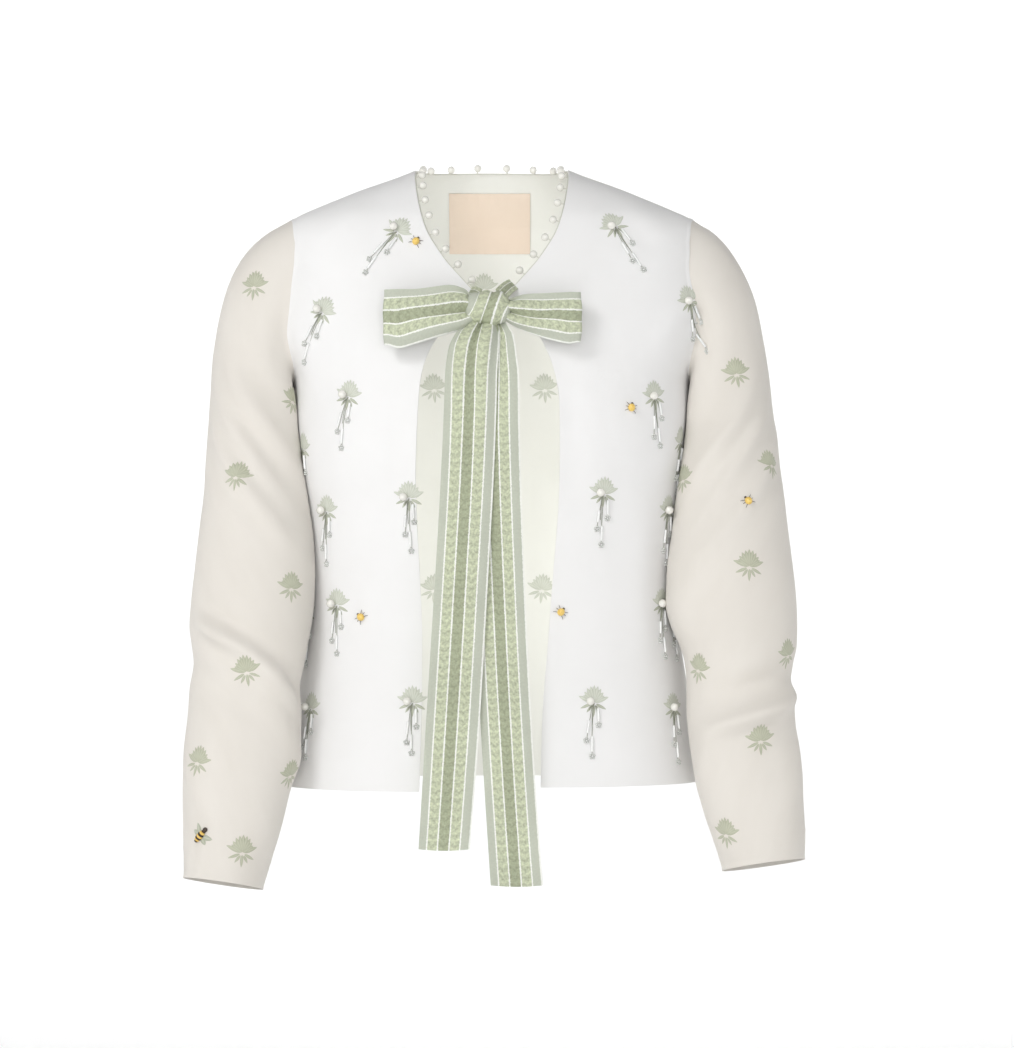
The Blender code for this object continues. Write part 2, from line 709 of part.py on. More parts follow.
def make_loop(name, side):
    """A bow loop: the ribbon runs out from the knot in front, folds over and runs back behind."""
    stations = BOW_LOOP[side]
    start_x = KNOT_CENTRE.x + side * KNOT_HALF.x
    end = stations[-1]
    rows = []
    for station in stations:
        rows.append(loop_row(side, start_x, station, -station.front_bulge))
    for step in range(1, LOOP_FOLD_POINTS + 1):
        turn = math.pi * step / (LOOP_FOLD_POINTS + 1)
        middle, radius = (end.back_gap - end.front_bulge) / 2, (end.back_gap + end.front_bulge) / 2
        bend = end._replace(from_knot=end.from_knot + radius * math.sin(turn))
        rows.append(loop_row(side, start_x, bend, middle - radius * math.cos(turn)))
    for station in reversed(stations):
        rows.append(loop_row(side, start_x, station, station.back_gap))
    return strip_wall(name, rows, RIBBON_WALL, "ribbon", RIBBON)


def loop_row(side, start_x, station, offset):
    row = []
    for c in shares(LOOP_COLUMNS):
        height = station.top + (station.bottom - station.top) * c
        arch = 1 - 0.45 * abs(2 * c - 1) ** 2
        y = KNOT_CENTRE.y + offset * (arch if offset < 0 else 1)
        lead = max(0, 1 - station.from_knot / 20) ** 2
        reach = knot_reach(0, y - KNOT_CENTRE.y, height - KNOT_CENTRE.z) if lead else 0
        x = start_x + side * (station.from_knot + 0.9 - lead * (KNOT_HALF.x - reach))
        row.append(Vector((x, y, height)))
    return row


def make_tail(name, side):
    """A ribbon tail hanging from the underside of the knot."""
    rows = []
    for r, station in enumerate(BOW_TAIL[side]):
        row = []
        for c in shares(TAIL_COLUMNS):
            x = station.right_edge + (station.left_edge - station.right_edge) * c
            y = -station.forward - station.crown * math.sin(math.pi * c)
            z = station.height
            if r == 0:
                z = KNOT_CENTRE.z - knot_reach(2, x - KNOT_CENTRE.x, y - KNOT_CENTRE.y) - 0.9
                z = min(z, station.height)
            row.append(Vector((x, y, z)))
        rows.append(row)
    return strip_wall(name, rows, RIBBON_WALL, "ribbon", RIBBON)


def make_tie_root(name, side, knot):
    """The sewn end of a tie: it lies on the neck corner of its front and runs forward to the knot."""
    root = TIE_ROOT[side]
    sewn, tied = Vector((root.sewn_x, 0, root.sewn_z)), Vector((root.knot_x, 0, root.knot_z))
    across = (tied - sewn).normalized().cross(Vector((0, 1, 0)))
    rows = [[], [], []]
    for c in shares(4):
        first = sewn + across * root.sewn_half_width * (2 * c - 1)
        cloth = form_point(side, heading_at(abs(first.x), first.z), first.z)
        first.y = cloth.y - SEAM - 0.05 - RIBBON_WALL / 2
        last = tied + across * root.knot_half_width * (2 * c - 1)
        last.y = KNOT_CENTRE.y + 5
        way = (KNOT_CENTRE - last).normalized()
        touch, _ = surface_hit(knot, last - way * 20, way)
        last = touch - way * (SEAM + 0.5)
        middle = first.lerp(last, 0.5) + Vector((0, -1.5, 1.0))
        for row, point in zip(rows, (first, middle, last)):
            row.append(point)
    return strip_wall(name, rows, RIBBON_WALL, "ribbon", RIBBON)


def neck_run():
    """Points along the middle of the neck edge with the way off the cloth at each, from the right
    front corner over the shoulders to the left one."""
    places = []
    corner = yoke_corner_row()
    steps = YOKE_ROWS - corner
    for side in (RIGHT, LEFT):
        climb = [edge_place(NECKLINE, share) for share in shares(steps)[:-1]]
        climb += [back_neck_place(share) for share in shares(BACK_COLUMNS // 2 - SHOULDER_COLUMNS)]
        places.append([(side, *place) for place in climb])
    run = places[0] + places[1][-2::-1]
    points = [form_point(*place) for place in run]
    found = []
    for i, place in enumerate(run):
        before, after = points[max(i - 1, 0)], points[min(i + 1, len(points) - 1)]
        normal = form_normal(*place)
        away = (after - before).normalized().cross(normal).normalized()
        found.append((points[i] - normal * FRONT_WALL / 2, away))
    return found


def cord_mesh(points, radius, sides):
    """A thin round cord with flat ends along a run of points."""
    vertices, faces = [], []
    lift = None
    for i, point in enumerate(points):
        along = (points[min(i + 1, len(points) - 1)] - points[max(i - 1, 0)]).normalized()
        lift = Vector((0, -1, 0)) if lift is None else lift
        lift = (lift - along * lift.dot(along)).normalized()
        other = along.cross(lift)
        for k in range(sides):
            angle = 2 * math.pi * k / sides
            vertices.append(point + (lift * math.cos(angle) + other * math.sin(angle)) * radius)
    for i in range(len(points) - 1):
        for k in range(sides):
            a, b = i * sides + k, i * sides + (k + 1) % sides
            faces += [(a, b, b + sides), (a, b + sides, a + sides)]
    faces.append(tuple(reversed(range(sides))))
    faces.append(tuple(range(len(vertices) - sides, len(vertices))))
    return vertices, faces


def pearl_on_shank(foot, away, reach):
    """A pearl at the end of a short thread shank that starts at the cord."""
    profile = [(0, 0.55), (reach - PEARL / 2, 0.55)]
    for polar in (50, 90, 130):
        angle = math.radians(polar)
        profile.append((reach - PEARL / 2 * math.cos(angle), PEARL / 2 * math.sin(angle)))
    sides = 8
    lift = away.orthogonal().normalized()
    other = away.cross(lift)
    vertices = []
    for along, radius in profile:
        for k in range(sides):
            angle = 2 * math.pi * k / sides
            spoke = lift * math.cos(angle) + other * math.sin(angle)
            vertices.append(foot + away * along + spoke * radius)
    faces = [tuple(reversed(range(sides)))]
    for r in range(len(profile) - 1):
        for k in range(sides):
            a, b = r * sides + k, r * sides + (k + 1) % sides
            faces += [(a, b, b + sides), (a, b + sides, a + sides)]
    vertices.append(foot + away * (reach + PEARL / 2))
    last = (len(profile) - 1) * sides
    faces += [(last + k, last + (k + 1) % sides, len(vertices) - 1) for k in range(sides)]
    return vertices, faces


def pearl_places(length, front_length):
    """Distances of the pearls along the neck edge, from its right front corner."""
    places = []
    right, left = NECK_PEARLS[RIGHT], NECK_PEARLS[LEFT]
    for share in shares(right.count - 1):
        places.append(right.from_corner + (front_length - right.from_corner) * share)
    for k in range(1, BACK_NECK_PEARLS + 1):
        places.append(front_length + (length - 2 * front_length) * k / (BACK_NECK_PEARLS + 1))
    for share in shares(left.count - 1):
        places.append(length - front_length + (front_length - left.from_corner) * share)
    return places


def make_neck_edging(name):
    run = neck_run()
    middles = [p + away * (SEAM + 0.75) for p, away in run]
    cord = add_object(name, closed_mesh(name, *cord_mesh(middles, 0.6, 6)), "pearl", PEARL_COAT)
    lengths = [0]
    for a, b in zip(middles, middles[1:]):
        lengths.append(lengths[-1] + (b - a).length)
    vertices, faces = [], []
    for place in pearl_places(lengths[-1], lengths[YOKE_ROWS - yoke_corner_row()]):
        i = max(k for k in range(len(lengths) - 1) if lengths[k] <= place)
        part = (place - lengths[i]) / (lengths[i + 1] - lengths[i])
        foot = middles[i].lerp(middles[i + 1], part)
        away = run[i][1].lerp(run[i + 1][1], part).normalized()
        points, rings = pearl_on_shank(foot, away, PEARL_REACH)
        faces += [tuple(k + len(vertices) for k in ring) for ring in rings]
        vertices += points
    pearls = add_object("pearls", closed_mesh("pearls", vertices, faces), "pearl", PEARL_COAT)
    pearls.hide_render = True
    pearls.display_type = "WIRE"
    joined = cord.modifiers.new("pearls", "BOOLEAN")
    joined.operation = "UNION"
    joined.solver = "EXACT"
    joined.object = pearls
    return cord


def surface_hit(target, start, way):
    """Where a ray from a point in millimetres meets a piece, and the face's direction there."""
    found, place, normal, _ = target.ray_cast(start * MM, way)
    return place / MM, normal


def make_label(name, back):
    """The label sewn flat inside the back neck."""
    outer, inner = [], []
    for row in shares(LABEL_ROWS):
        height = LABEL_BOTTOM + (LABEL_TOP - LABEL_BOTTOM) * row
        line = []
        for column in shares(LABEL_COLUMNS):
            x = LABEL_MIDDLE + LABEL_WIDTH * (column - 0.5)
            place, normal = surface_hit(back, Vector((x, 0, height)), Vector((0, 1, 0)))
            line.append((place, normal))
        outer.append([p + n * 0.35 for p, n in line])
        inner.append([p + n * (0.35 + LABEL_WALL) for p, n in line])
    return cloth_wall(name, outer, inner, "label satin", LABEL_SATIN)


def make_motif_pearl(name, front, side, place):
    start = Vector((side * place.from_centre, -400, place.height))
    touch, normal = surface_hit(front, start, Vector((0, 1, 0)))
    builder = bmesh.new()
    bmesh.ops.create_icosphere(builder, subdivisions=1, radius=MOTIF_PEARL / 2)
    centre = touch + normal * (MOTIF_PEARL / 2 + SEAM)
    vertices = [v.co.copy() + centre for v in builder.verts]
    faces = [tuple(v.index for v in face.verts) for face in builder.faces]
    builder.free()
    return add_object(name, closed_mesh(name, vertices, faces), "pearl", PEARL_COAT)


def main():
    clear_scene()
    words = {RIGHT: "right", LEFT: "left"}
    back = make_back("back")
    knot = make_knot("bow_knot")
    for side, word in words.items():
        front = make_front("front_" + word, side)
        make_sleeve("sleeve_" + word, side)
        make_loop("bow_loop_" + word, side)
        make_tail("bow_tail_" + word, side)
        make_tie_root("tie_root_" + word, side, knot)
        for number, place in enumerate(MOTIF_PEARLS[side], 1):
            make_motif_pearl(f"motif_pearl_{word}_{number}", front, side, place)
    make_neck_edging("neck_edging")
    make_label("label", back)


main()
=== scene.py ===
import math
import random
from collections import namedtuple

import bmesh
import bpy
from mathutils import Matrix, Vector, noise
from mathutils.bvhtree import BVHTree


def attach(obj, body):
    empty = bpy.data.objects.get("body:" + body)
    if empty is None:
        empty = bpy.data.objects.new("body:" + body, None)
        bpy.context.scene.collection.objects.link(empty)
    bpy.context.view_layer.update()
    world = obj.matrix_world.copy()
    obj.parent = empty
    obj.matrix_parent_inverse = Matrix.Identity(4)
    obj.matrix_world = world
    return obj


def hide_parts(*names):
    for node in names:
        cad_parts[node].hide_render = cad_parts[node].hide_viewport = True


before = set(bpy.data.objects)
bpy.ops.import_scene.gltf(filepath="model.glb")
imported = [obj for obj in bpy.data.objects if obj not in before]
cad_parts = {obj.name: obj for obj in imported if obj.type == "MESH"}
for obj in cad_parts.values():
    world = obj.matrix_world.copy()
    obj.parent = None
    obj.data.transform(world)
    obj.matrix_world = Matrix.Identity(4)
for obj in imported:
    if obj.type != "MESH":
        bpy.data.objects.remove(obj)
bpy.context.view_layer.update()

MM = 0.001
RIGHT, LEFT = -1, 1
WORD = {RIGHT: "right", LEFT: "left"}

# The fronts. Two white woven panels, cut with a rounded neck corner and left open below the tie.
# They are sewn to the back at the sides and shoulders and turned under in a narrow hem. Each one
# is a thin shell on the worn form, with its soft drag lines pressed in.
FRONT_WALL = 1.3
SEAM_ROLL, ROLL_WIDTH = 0.9, 2.5
SHOULDER_ROLL_SHARE, LOW_SIDE_ROLL_SHARE = 0.6, 0.3
HEM_ROLL, HEM_ROLL_WIDTH = 0.5, 2.0
CLOTH_WANDER, FRONT_WANDER_SCALE, BACK_WANDER_SCALE = 0.8, 0.017, 0.015
HEM_HEIGHT = {RIGHT: -574, LEFT: -570}
UNDERARM_HEIGHT = -200
SHOULDER_TIP_HEIGHT = -47
FRONT_ROWS, YOKE_ROWS, FRONT_COLUMNS = 46, 42, 44
CORNER_ROW = round(YOKE_ROWS * 5 / 14)
CLOTH_SHARP_EDGE, TRIM_SHARP_EDGE = math.radians(70), math.radians(50)
CREASE_REACH, CREASE_LIPS = 3.2, 0.55
FRONT_WHITE = (0.885, 0.88, 0.875)
FRONT_SHADE = (0.84, 0.835, 0.825)

Section = namedtuple("Section", "height half_width front_depth back_depth roundness")
FORM = [
    Section(-600, 200, 116, 103, 2.55),
    Section(-574, 197, 115, 101, 2.55),
    Section(-500, 184, 111, 94, 2.55),
    Section(-411, 174, 109, 88, 2.5),
    Section(-330, 176, 116, 92, 2.5),
    Section(-255, 181, 123, 98, 2.5),
    Section(-200, 184, 119, 100, 2.4),
    Section(-150, 203, 111, 101, 2.35),
    Section(-110, 207.5, 103, 98, 2.3),
    Section(-85, 207, 96.5, 94.5, 2.25),
    Section(-68, 204.5, 91, 91, 2.2),
    Section(-57, 199, 87, 88.5, 2.2),
    Section(-47, 187, 83, 86, 2.2),
    Section(-36, 164, 76, 80, 2.2),
    Section(-25, 137, 69, 74, 2.2),
    Section(-14, 108, 61, 67, 2.2),
    Section(-6, 86, 55, 62, 2.2),
    Section(0, 71, 50, 58, 2.2),
    Section(4, 62, 47, 55, 2.2),
]

EdgePoint = namedtuple("EdgePoint", "height from_centre")
FRONT_EDGE = {
    RIGHT: [
        EdgePoint(-574, 65.5),
        EdgePoint(-479, 63),
        EdgePoint(-435, 63),
        EdgePoint(-375, 65),
        EdgePoint(-330, 67.5),
        EdgePoint(-285, 68.5),
        EdgePoint(-250, 67.5),
        EdgePoint(-208, 65),
        EdgePoint(-184, 61),
        EdgePoint(-163, 51),
        EdgePoint(-148, 36),
        EdgePoint(-136, 22),
        EdgePoint(-124, 13),
    ],
    LEFT: [
        EdgePoint(-570, 44.5),
        EdgePoint(-510, 46),
        EdgePoint(-442, 51),
        EdgePoint(-383, 55.5),
        EdgePoint(-345, 58.5),
        EdgePoint(-307, 61),
        EdgePoint(-260, 62),
        EdgePoint(-222, 61.5),
        EdgePoint(-184, 55),
        EdgePoint(-163, 45),
        EdgePoint(-148, 34),
        EdgePoint(-136, 22),
        EdgePoint(-124, 13),
    ],
}
NECKLINE = [
    EdgePoint(-124, 13),
    EdgePoint(-116, 20),
    EdgePoint(-106, 29),
    EdgePoint(-92, 41.5),
    EdgePoint(-81, 49),
    EdgePoint(-71, 55.5),
    EdgePoint(-60, 61),
    EdgePoint(-41, 66.5),
    EdgePoint(-25, 69.5),
    EdgePoint(-10, 71.5),
    EdgePoint(0, 71),
]
ArmholePoint = namedtuple("ArmholePoint", "rise height front_heading back_heading")
ARMHOLE = [
    ArmholePoint(0.0, -200, 90, 90),
    ArmholePoint(0.12, -192, 79, 80),
    ArmholePoint(0.25, -174, 70, 72),
    ArmholePoint(0.4, -148, 65, 67),
    ArmholePoint(0.55, -120, 61, 64.5),
    ArmholePoint(0.68, -96, 59, 64.5),
    ArmholePoint(0.79, -75, 60, 66),
    ArmholePoint(0.88, -59, 65, 70.5),
    ArmholePoint(0.94, -51, 73, 77),
    ArmholePoint(1.0, -47, 90, 90),
]

# A crease is a soft trough with raised lips along a path, in the panel's own front view:
# distance from the centre and height at each place of the path.
Crease = namedtuple("Crease", "path half_width depth")
FRONT_CREASES = {
    RIGHT: [
        Crease(((186, -92), (168, -112), (150, -140)), 12, 2.2),
        Crease(((186, -150), (172, -175), (160, -215)), 12, 2.4),
        Crease(((120, -24), (140, -60), (172, -80)), 13, 1.6),
        Crease(((182, -205), (170, -250), (160, -320)), 12, 2.0),
        Crease(((150, -330), (146, -400), (142, -470)), 16, 1.9),
        Crease(((70, -180), (82, -240), (84, -330)), 15, -1.6),
    ],
    LEFT: [
        Crease(((184, -72), (164, -84), (138, -104)), 12, 2.4),
        Crease(((188, -120), (168, -140), (150, -175)), 13, 2.4),
        Crease(((110, -20), (138, -50), (170, -72)), 13, 1.9),
        Crease(((183, -205), (168, -240), (150, -300)), 12, 2.4),
        Crease(((140, -300), (136, -380), (140, -460)), 16, 2.2),
        Crease(((66, -180), (74, -240), (74, -330)), 15, -1.4),
    ],
}


def curve_through(knots, values, at):
    """The value at one place on a smooth curve through (knot, value) pairs that never overshoots."""
    at = min(max(at, knots[0]), knots[-1])
    i = max(k for k in range(len(knots) - 1) if knots[k] <= at)
    first, last = max(i - 1, 0), min(i + 2, len(knots) - 1)
    rises = {}
    for k in range(first, last):
        rises[k] = (values[k + 1] - values[k]) / (knots[k + 1] - knots[k])

    def slope(k):
        before, after = rises.get(k - 1, rises.get(k)), rises.get(k, rises.get(k - 1))
        return 0 if before * after <= 0 else 2 * before * after / (before + after)

    gap = knots[i + 1] - knots[i]
    t = (at - knots[i]) / gap
    start = (1 + 2 * t) * (1 - t) ** 2 * values[i] + t * (1 - t) ** 2 * gap * slope(i)
    end = t * t * (3 - 2 * t) * values[i + 1] + t * t * (t - 1) * gap * slope(i + 1)
    return start + end


columns_read = {}


def read_table(table, key, field, at):
    """One column of a table, read between its rows."""
    held = columns_read.get((id(table), key, field))
    if held is None:
        rows = sorted(table, key=lambda row: getattr(row, key))
        held = ([getattr(r, key) for r in rows], [getattr(r, field) for r in rows])
        columns_read[(id(table), key, field)] = held
    return curve_through(*held, at)


def read_row(table, at):
    """Every other column of a table, read where its first column has a value."""
    key, *others = table[0]._fields
    return [read_table(table, key, field, at) for field in others]


def form_point(side, heading, height):
    """A point of the form: heading in degrees from the centre front (0) to the centre back (180)."""
    half_width = read_table(FORM, "height", "half_width", height)
    roundness = read_table(FORM, "height", "roundness", height)
    depth = read_table(FORM, "height", "front_depth" if heading <= 90 else "back_depth", height)
    angle = math.radians(heading)
    across = abs(math.sin(angle)) ** (2 / roundness) * (1 if 0 <= heading <= 180 else -1)
    along = -math.copysign(abs(math.cos(angle)) ** (2 / roundness), math.cos(angle))
    return Vector((side * half_width * across, depth * along, height))


def heading_at(from_centre, height):
    """The front heading whose point lies a distance from the centre."""
    half_width = read_table(FORM, "height", "half_width", height)
    roundness = read_table(FORM, "height", "roundness", height)
    share = min(max(from_centre / half_width, 0), 1)
    return math.degrees(math.asin(share ** (roundness / 2)))


def shares(count, ends=0.0):
    """Even steps from 0 to 1, drawn closer together at both ends when ends is above 0."""
    even = [i / count for i in range(count + 1)]
    return [t - ends * math.sin(2 * math.pi * t) / (2 * math.pi) for t in even]


def near(distance, width):
    """1 on a line, falling softly to 0 within a few widths of it."""
    return math.exp(-((distance / width) ** 2))


def armhole_place(rise, face):
    """The heading and height of the armhole at a rise from the underarm (0) to the tip (1)."""
    height = read_table(ARMHOLE, "rise", "height", rise)
    heading = read_table(ARMHOLE, "rise", face, rise)
    return (heading if face == "front_heading" else 180 - heading), height


def point_along(points, share):
    """The point at a share of the length of a run of points."""
    lengths = [(b - a).length for a, b in zip(points, points[1:])]
    left = share * sum(lengths)
    for start, end, length in zip(points, points[1:], lengths):
        if left <= length:
            return start.lerp(end, left / length if length else 0)
        left -= length
    return points[-1].copy()


def rounded_run(points, passes=2):
    """Cuts the corners of a run of points, so that a short table gives a smooth line."""
    for _ in range(passes):
        cut = [points[0]]
        for a, b in zip(points, points[1:]):
            cut += [a.lerp(b, 0.25), a.lerp(b, 0.75)]
        points = cut[:1] + cut[2:-1] + [points[-1]]
    return points


def edge_run(rows):
    """A table of edge points as a smooth run, seen from the front."""
    return rounded_run([Vector((p.from_centre, 0, p.height)) for p in rows])


def crease_push(creases, across, height):
    """How far creases press the cloth in (below zero) or lift it, at a place on the piece."""
    total = 0
    for crease in creases:
        lengths = []
        for a, b in zip(crease.path, crease.path[1:]):
            lengths.append(math.hypot(b[0] - a[0], b[1] - a[1]))
        whole, gone, nearest, place = sum(lengths), 0, 1e9, 0
        for (a, b), length in zip(zip(crease.path, crease.path[1:]), lengths):
            step = ((across - a[0]) * (b[0] - a[0]) + (height - a[1]) * (b[1] - a[1])) / length**2
            step = min(max(step, 0), 1)
            x, z = a[0] + (b[0] - a[0]) * step, a[1] + (b[1] - a[1]) * step
            away = math.hypot(across - x, height - z)
            if away < nearest:
                nearest, place = away, (gone + step * length) / whole
            gone += length
        ratio = nearest / crease.half_width
        if ratio < CREASE_REACH:
            taper = math.sin(math.pi * (0.06 + 0.88 * place)) ** 0.8
            total -= crease.depth * taper * (1 - CREASE_LIPS * ratio**2) * math.exp(-(ratio**2))
    return total


def front_places(side, columns):
    """Headings and heights of a front's grid, from the hem up to the shoulder seam."""
    edge, hem = FRONT_EDGE[side], HEM_HEIGHT[side]
    steps = shares(columns, 0.6)
    grid = []
    for share in shares(FRONT_ROWS, 0.4)[:-1]:
        height = hem + (UNDERARM_HEIGHT - hem) * share
        start = heading_at(read_table(edge, "height", "from_centre", height), height)
        grid.append([(start + (90 - start) * c, height) for c in steps])
    first = EdgePoint(UNDERARM_HEIGHT, read_table(edge, "height", "from_centre", UNDERARM_HEIGHT))
    upper = edge_run([first] + [p for p in edge if p.height > UNDERARM_HEIGHT + 3])
    neck = edge_run(NECKLINE)
    for row in range(YOKE_ROWS + 1):
        if row <= CORNER_ROW:
            found = point_along(upper, row / CORNER_ROW)
        else:
            found = point_along(neck, (row - CORNER_ROW) / (YOKE_ROWS - CORNER_ROW))
        start = (heading_at(found.x, found.z), found.z) if row < YOKE_ROWS else (90, 0)
        end = armhole_place(row / YOKE_ROWS, "front_heading")
        turn, climb = end[0] - start[0], end[1] - start[1]
        grid.append([(start[0] + turn * c, start[1] + climb * c) for c in steps])
    return grid


def grid_normals(grid, way, tube=False):
    """Outward directions of a grid of points, from its neighbours."""
    rows, columns = len(grid), len(grid[0])
    found = []
    for r in range(rows):
        line = []
        for c in range(columns):
            if tube:
                across = grid[r][(c + 1) % columns] - grid[r][c - 1]
            else:
                across = grid[r][min(c + 1, columns - 1)] - grid[r][max(c - 1, 0)]
            along = grid[min(r + 1, rows - 1)][c] - grid[max(r - 1, 0)][c]
            line.append((across.cross(along) * way).normalized())
        found.append(line)
    return found


def cloth_shell(name, grid, normals, wall, material, uv=None, tube=False):
    """A sheet of cloth as a closed thin shell: the given outer face, an inner face, and edges.
    Its map, called cloth, holds distances along the cloth in metres, for the weave."""
    rows, columns = len(grid), len(grid[0])
    around = columns if tube else columns - 1
    points = [p for line in grid for p in line]
    points += [p - n * wall for a, b in zip(grid, normals) for p, n in zip(a, b)]
    under = rows * columns

    def at(r, c):
        return r * columns + c % columns

    faces, corners = [], []
    for r in range(rows - 1):
        for c in range(around):
            quad = [(r, c), (r, c + 1), (r + 1, c + 1), (r + 1, c)]
            faces.append([at(*q) for q in quad])
            corners.append(quad)
            faces.append([under + at(*q) for q in reversed(quad)])
            corners.append(quad[::-1])
    rim = [((0, c + 1), (0, c)) for c in range(around)]
    rim += [((rows - 1, c), (rows - 1, c + 1)) for c in range(around)]
    if not tube:
        rim += [((r, 0), (r + 1, 0)) for r in range(rows - 1)]
        rim += [((r + 1, columns - 1), (r, columns - 1)) for r in range(rows - 1)]
    for a, b in rim:
        faces.append([at(*a), at(*b), under + at(*b), under + at(*a)])
        corners.append([a, b, b, a])
    mesh = bpy.data.meshes.new(name)
    mesh.from_pydata([tuple(p * MM) for p in points], [], faces)
    if uv is None:
        uv = cloth_map(grid, tube)
    layer = mesh.uv_layers.new(name="cloth")
    places = [uv[r][c] for quad in corners for r, c in quad]
    layer.data.foreach_set("uv", [number * MM for place in places for number in place])
    builder = bmesh.new()
    builder.from_mesh(mesh)
    bmesh.ops.recalc_face_normals(builder, faces=builder.faces)
    builder.to_mesh(mesh)
    builder.free()
    mesh.shade_smooth()
    mesh.set_sharp_from_angle(angle=CLOTH_SHARP_EDGE)
    mesh.materials.append(material)
    piece = bpy.data.objects.new(name, mesh)
    bpy.context.scene.collection.objects.link(piece)
    return piece


def cloth_map(grid, tube):
    """Distances along the cloth, in millimetres, at each point of a grid."""
    rows, columns = len(grid), len(grid[0])
    middle = columns // 2
    found = []
    for r, line in enumerate(grid):
        across = [0.0]
        for c in range(columns):
            across.append(across[-1] + (line[(c + 1) % columns] - line[c]).length)
        up = [0.0] * (columns + 1)
        if r:
            for c in range(columns + 1):
                up[c] = found[-1][c][1] + (line[c % columns] - grid[r - 1][c % columns]).length
        shift = across[middle]
        found.append([(across[c] - shift, up[c]) for c in range(columns + 1)])
    return found


def node_group(name, inputs, outputs):
    """An empty shader node group with its named sockets, and its input and output nodes."""
    group = bpy.data.node_groups.new(name, "ShaderNodeTree")
    for label, kind, value in inputs:
        socket = group.interface.new_socket(name=label, in_out="INPUT", socket_type=kind)
        socket.default_value = value
    for label, kind in outputs:
        group.interface.new_socket(name=label, in_out="OUTPUT", socket_type=kind)
    return group, group.nodes.new("NodeGroupInput"), group.nodes.new("NodeGroupOutput")


def add_node(tree, kind, links=(), **settings):
    """Adds a node, sets its properties or sockets, and links its inputs."""
    node = tree.nodes.new(kind)
    for key, value in settings.items():
        if hasattr(node, key):
            setattr(node, key, value)
        else:
            node.inputs[key.replace("_", " ")].default_value = value
    for socket, source in links:
        tree.links.new(source, node.inputs[socket])
    return node


def math_node(tree, operation, first, second=0.0):
    """One step of arithmetic between numbers or sockets."""
    node = tree.nodes.new("ShaderNodeMath")
    node.operation = operation
    for socket, value in zip(node.inputs, (first, second)):
        if isinstance(value, (int, float)):
            socket.default_value = value
        else:
            tree.links.new(value, socket)
    return node.outputs[0]


def mix_colours(tree, factor, first, second, blend="MIX"):
    """A blend of two colours, each given as a colour or as a socket."""
    node = tree.nodes.new("ShaderNodeMix")
    node.data_type, node.blend_type = "RGBA", blend
    for index, value in ((0, factor), (6, first), (7, second)):
        socket = node.inputs[index]
        if isinstance(value, (int, float)):
            socket.default_value = value
        elif isinstance(value, tuple):
            socket.default_value = (*value, 1)
        else:
            tree.links.new(value, socket)
    return node.outputs[2]


def build_weave():
    """Woven cloth: crossing threads with slubs, as a height, and a slow unevenness of its shade."""
    group, start, end = node_group(
        "weave",
        [
            ("Vector", "NodeSocketVector", (0, 0, 0)),
            ("Thread", "NodeSocketFloat", 0.0006),
            ("Slub", "NodeSocketFloat", 0.5),
        ],
        [("Height", "NodeSocketFloat"), ("Shade", "NodeSocketFloat")],
    )
    parts = add_node(group, "ShaderNodeSeparateXYZ", [(0, start.outputs["Vector"])])
    frequency = math_node(group, "DIVIDE", 2 * math.pi, start.outputs["Thread"])
    threads = []
    for axis in ("X", "Y"):
        angle = math_node(group, "MULTIPLY", parts.outputs[axis], frequency)
        threads.append(math_node(group, "SINE", angle))
    crossing = math_node(group, "MULTIPLY", threads[0], threads[1])
    slub = add_node(group, "ShaderNodeTexNoise", [("Vector", start.outputs["Vector"])], Scale=420, Detail=3)
    uneven = math_node(group, "MULTIPLY", slub.outputs["Fac"], start.outputs["Slub"])
    height = math_node(group, "ADD", math_node(group, "MULTIPLY", crossing, 0.35), uneven)
    cloud = add_node(group, "ShaderNodeTexNoise", [("Vector", start.outputs["Vector"])], Scale=16, Detail=5)
    group.links.new(height, end.inputs["Height"])
    group.links.new(cloud.outputs["Fac"], end.inputs["Shade"])
    return group


weave = build_weave()


def start_material(name, **sockets):
    """A new material, its node tree and its shader, with numbers set on the shader's sockets."""
    made = bpy.data.materials.new(name)
    made.use_nodes = True
    shader = made.node_tree.nodes["Principled BSDF"]
    for label, value in sockets.items():
        shader.inputs[label.replace("_", " ")].default_value = value
    return made, made.node_tree, shader


def link_surface(tree, shader, colour, height, strength, distance):
    """Gives the shader its colour, and a relief of some metres from a height."""
    tree.links.new(colour, shader.inputs["Base Color"])
    relief = add_node(
        tree, "ShaderNodeBump", [("Height", height)], Strength=strength, Distance=distance
    )
    tree.links.new(relief.outputs[0], shader.inputs["Normal"])


def cloth_material(name, light, dark, roughness, thread, bump, sheen=0.1):
    """Woven cloth in one colour, uneven between a light and a dark shade."""
    made, tree, shader = start_material(
        name, Roughness=roughness, Sheen_Weight=sheen, Specular_IOR_Level=0.25
    )
    place = add_node(tree, "ShaderNodeUVMap", uv_map="cloth")
    threads = add_node(
        tree, "ShaderNodeGroup", [(0, place.outputs[0])], node_tree=weave, Thread=thread
    )
    colour = mix_colours(tree, threads.outputs["Shade"], dark, light)
    link_surface(tree, shader, colour, threads.outputs["Height"], bump, 0.0004)
    return made


front_cloth = cloth_material("front cloth", FRONT_WHITE, FRONT_SHADE, 0.8, 0.0006, 0.35)


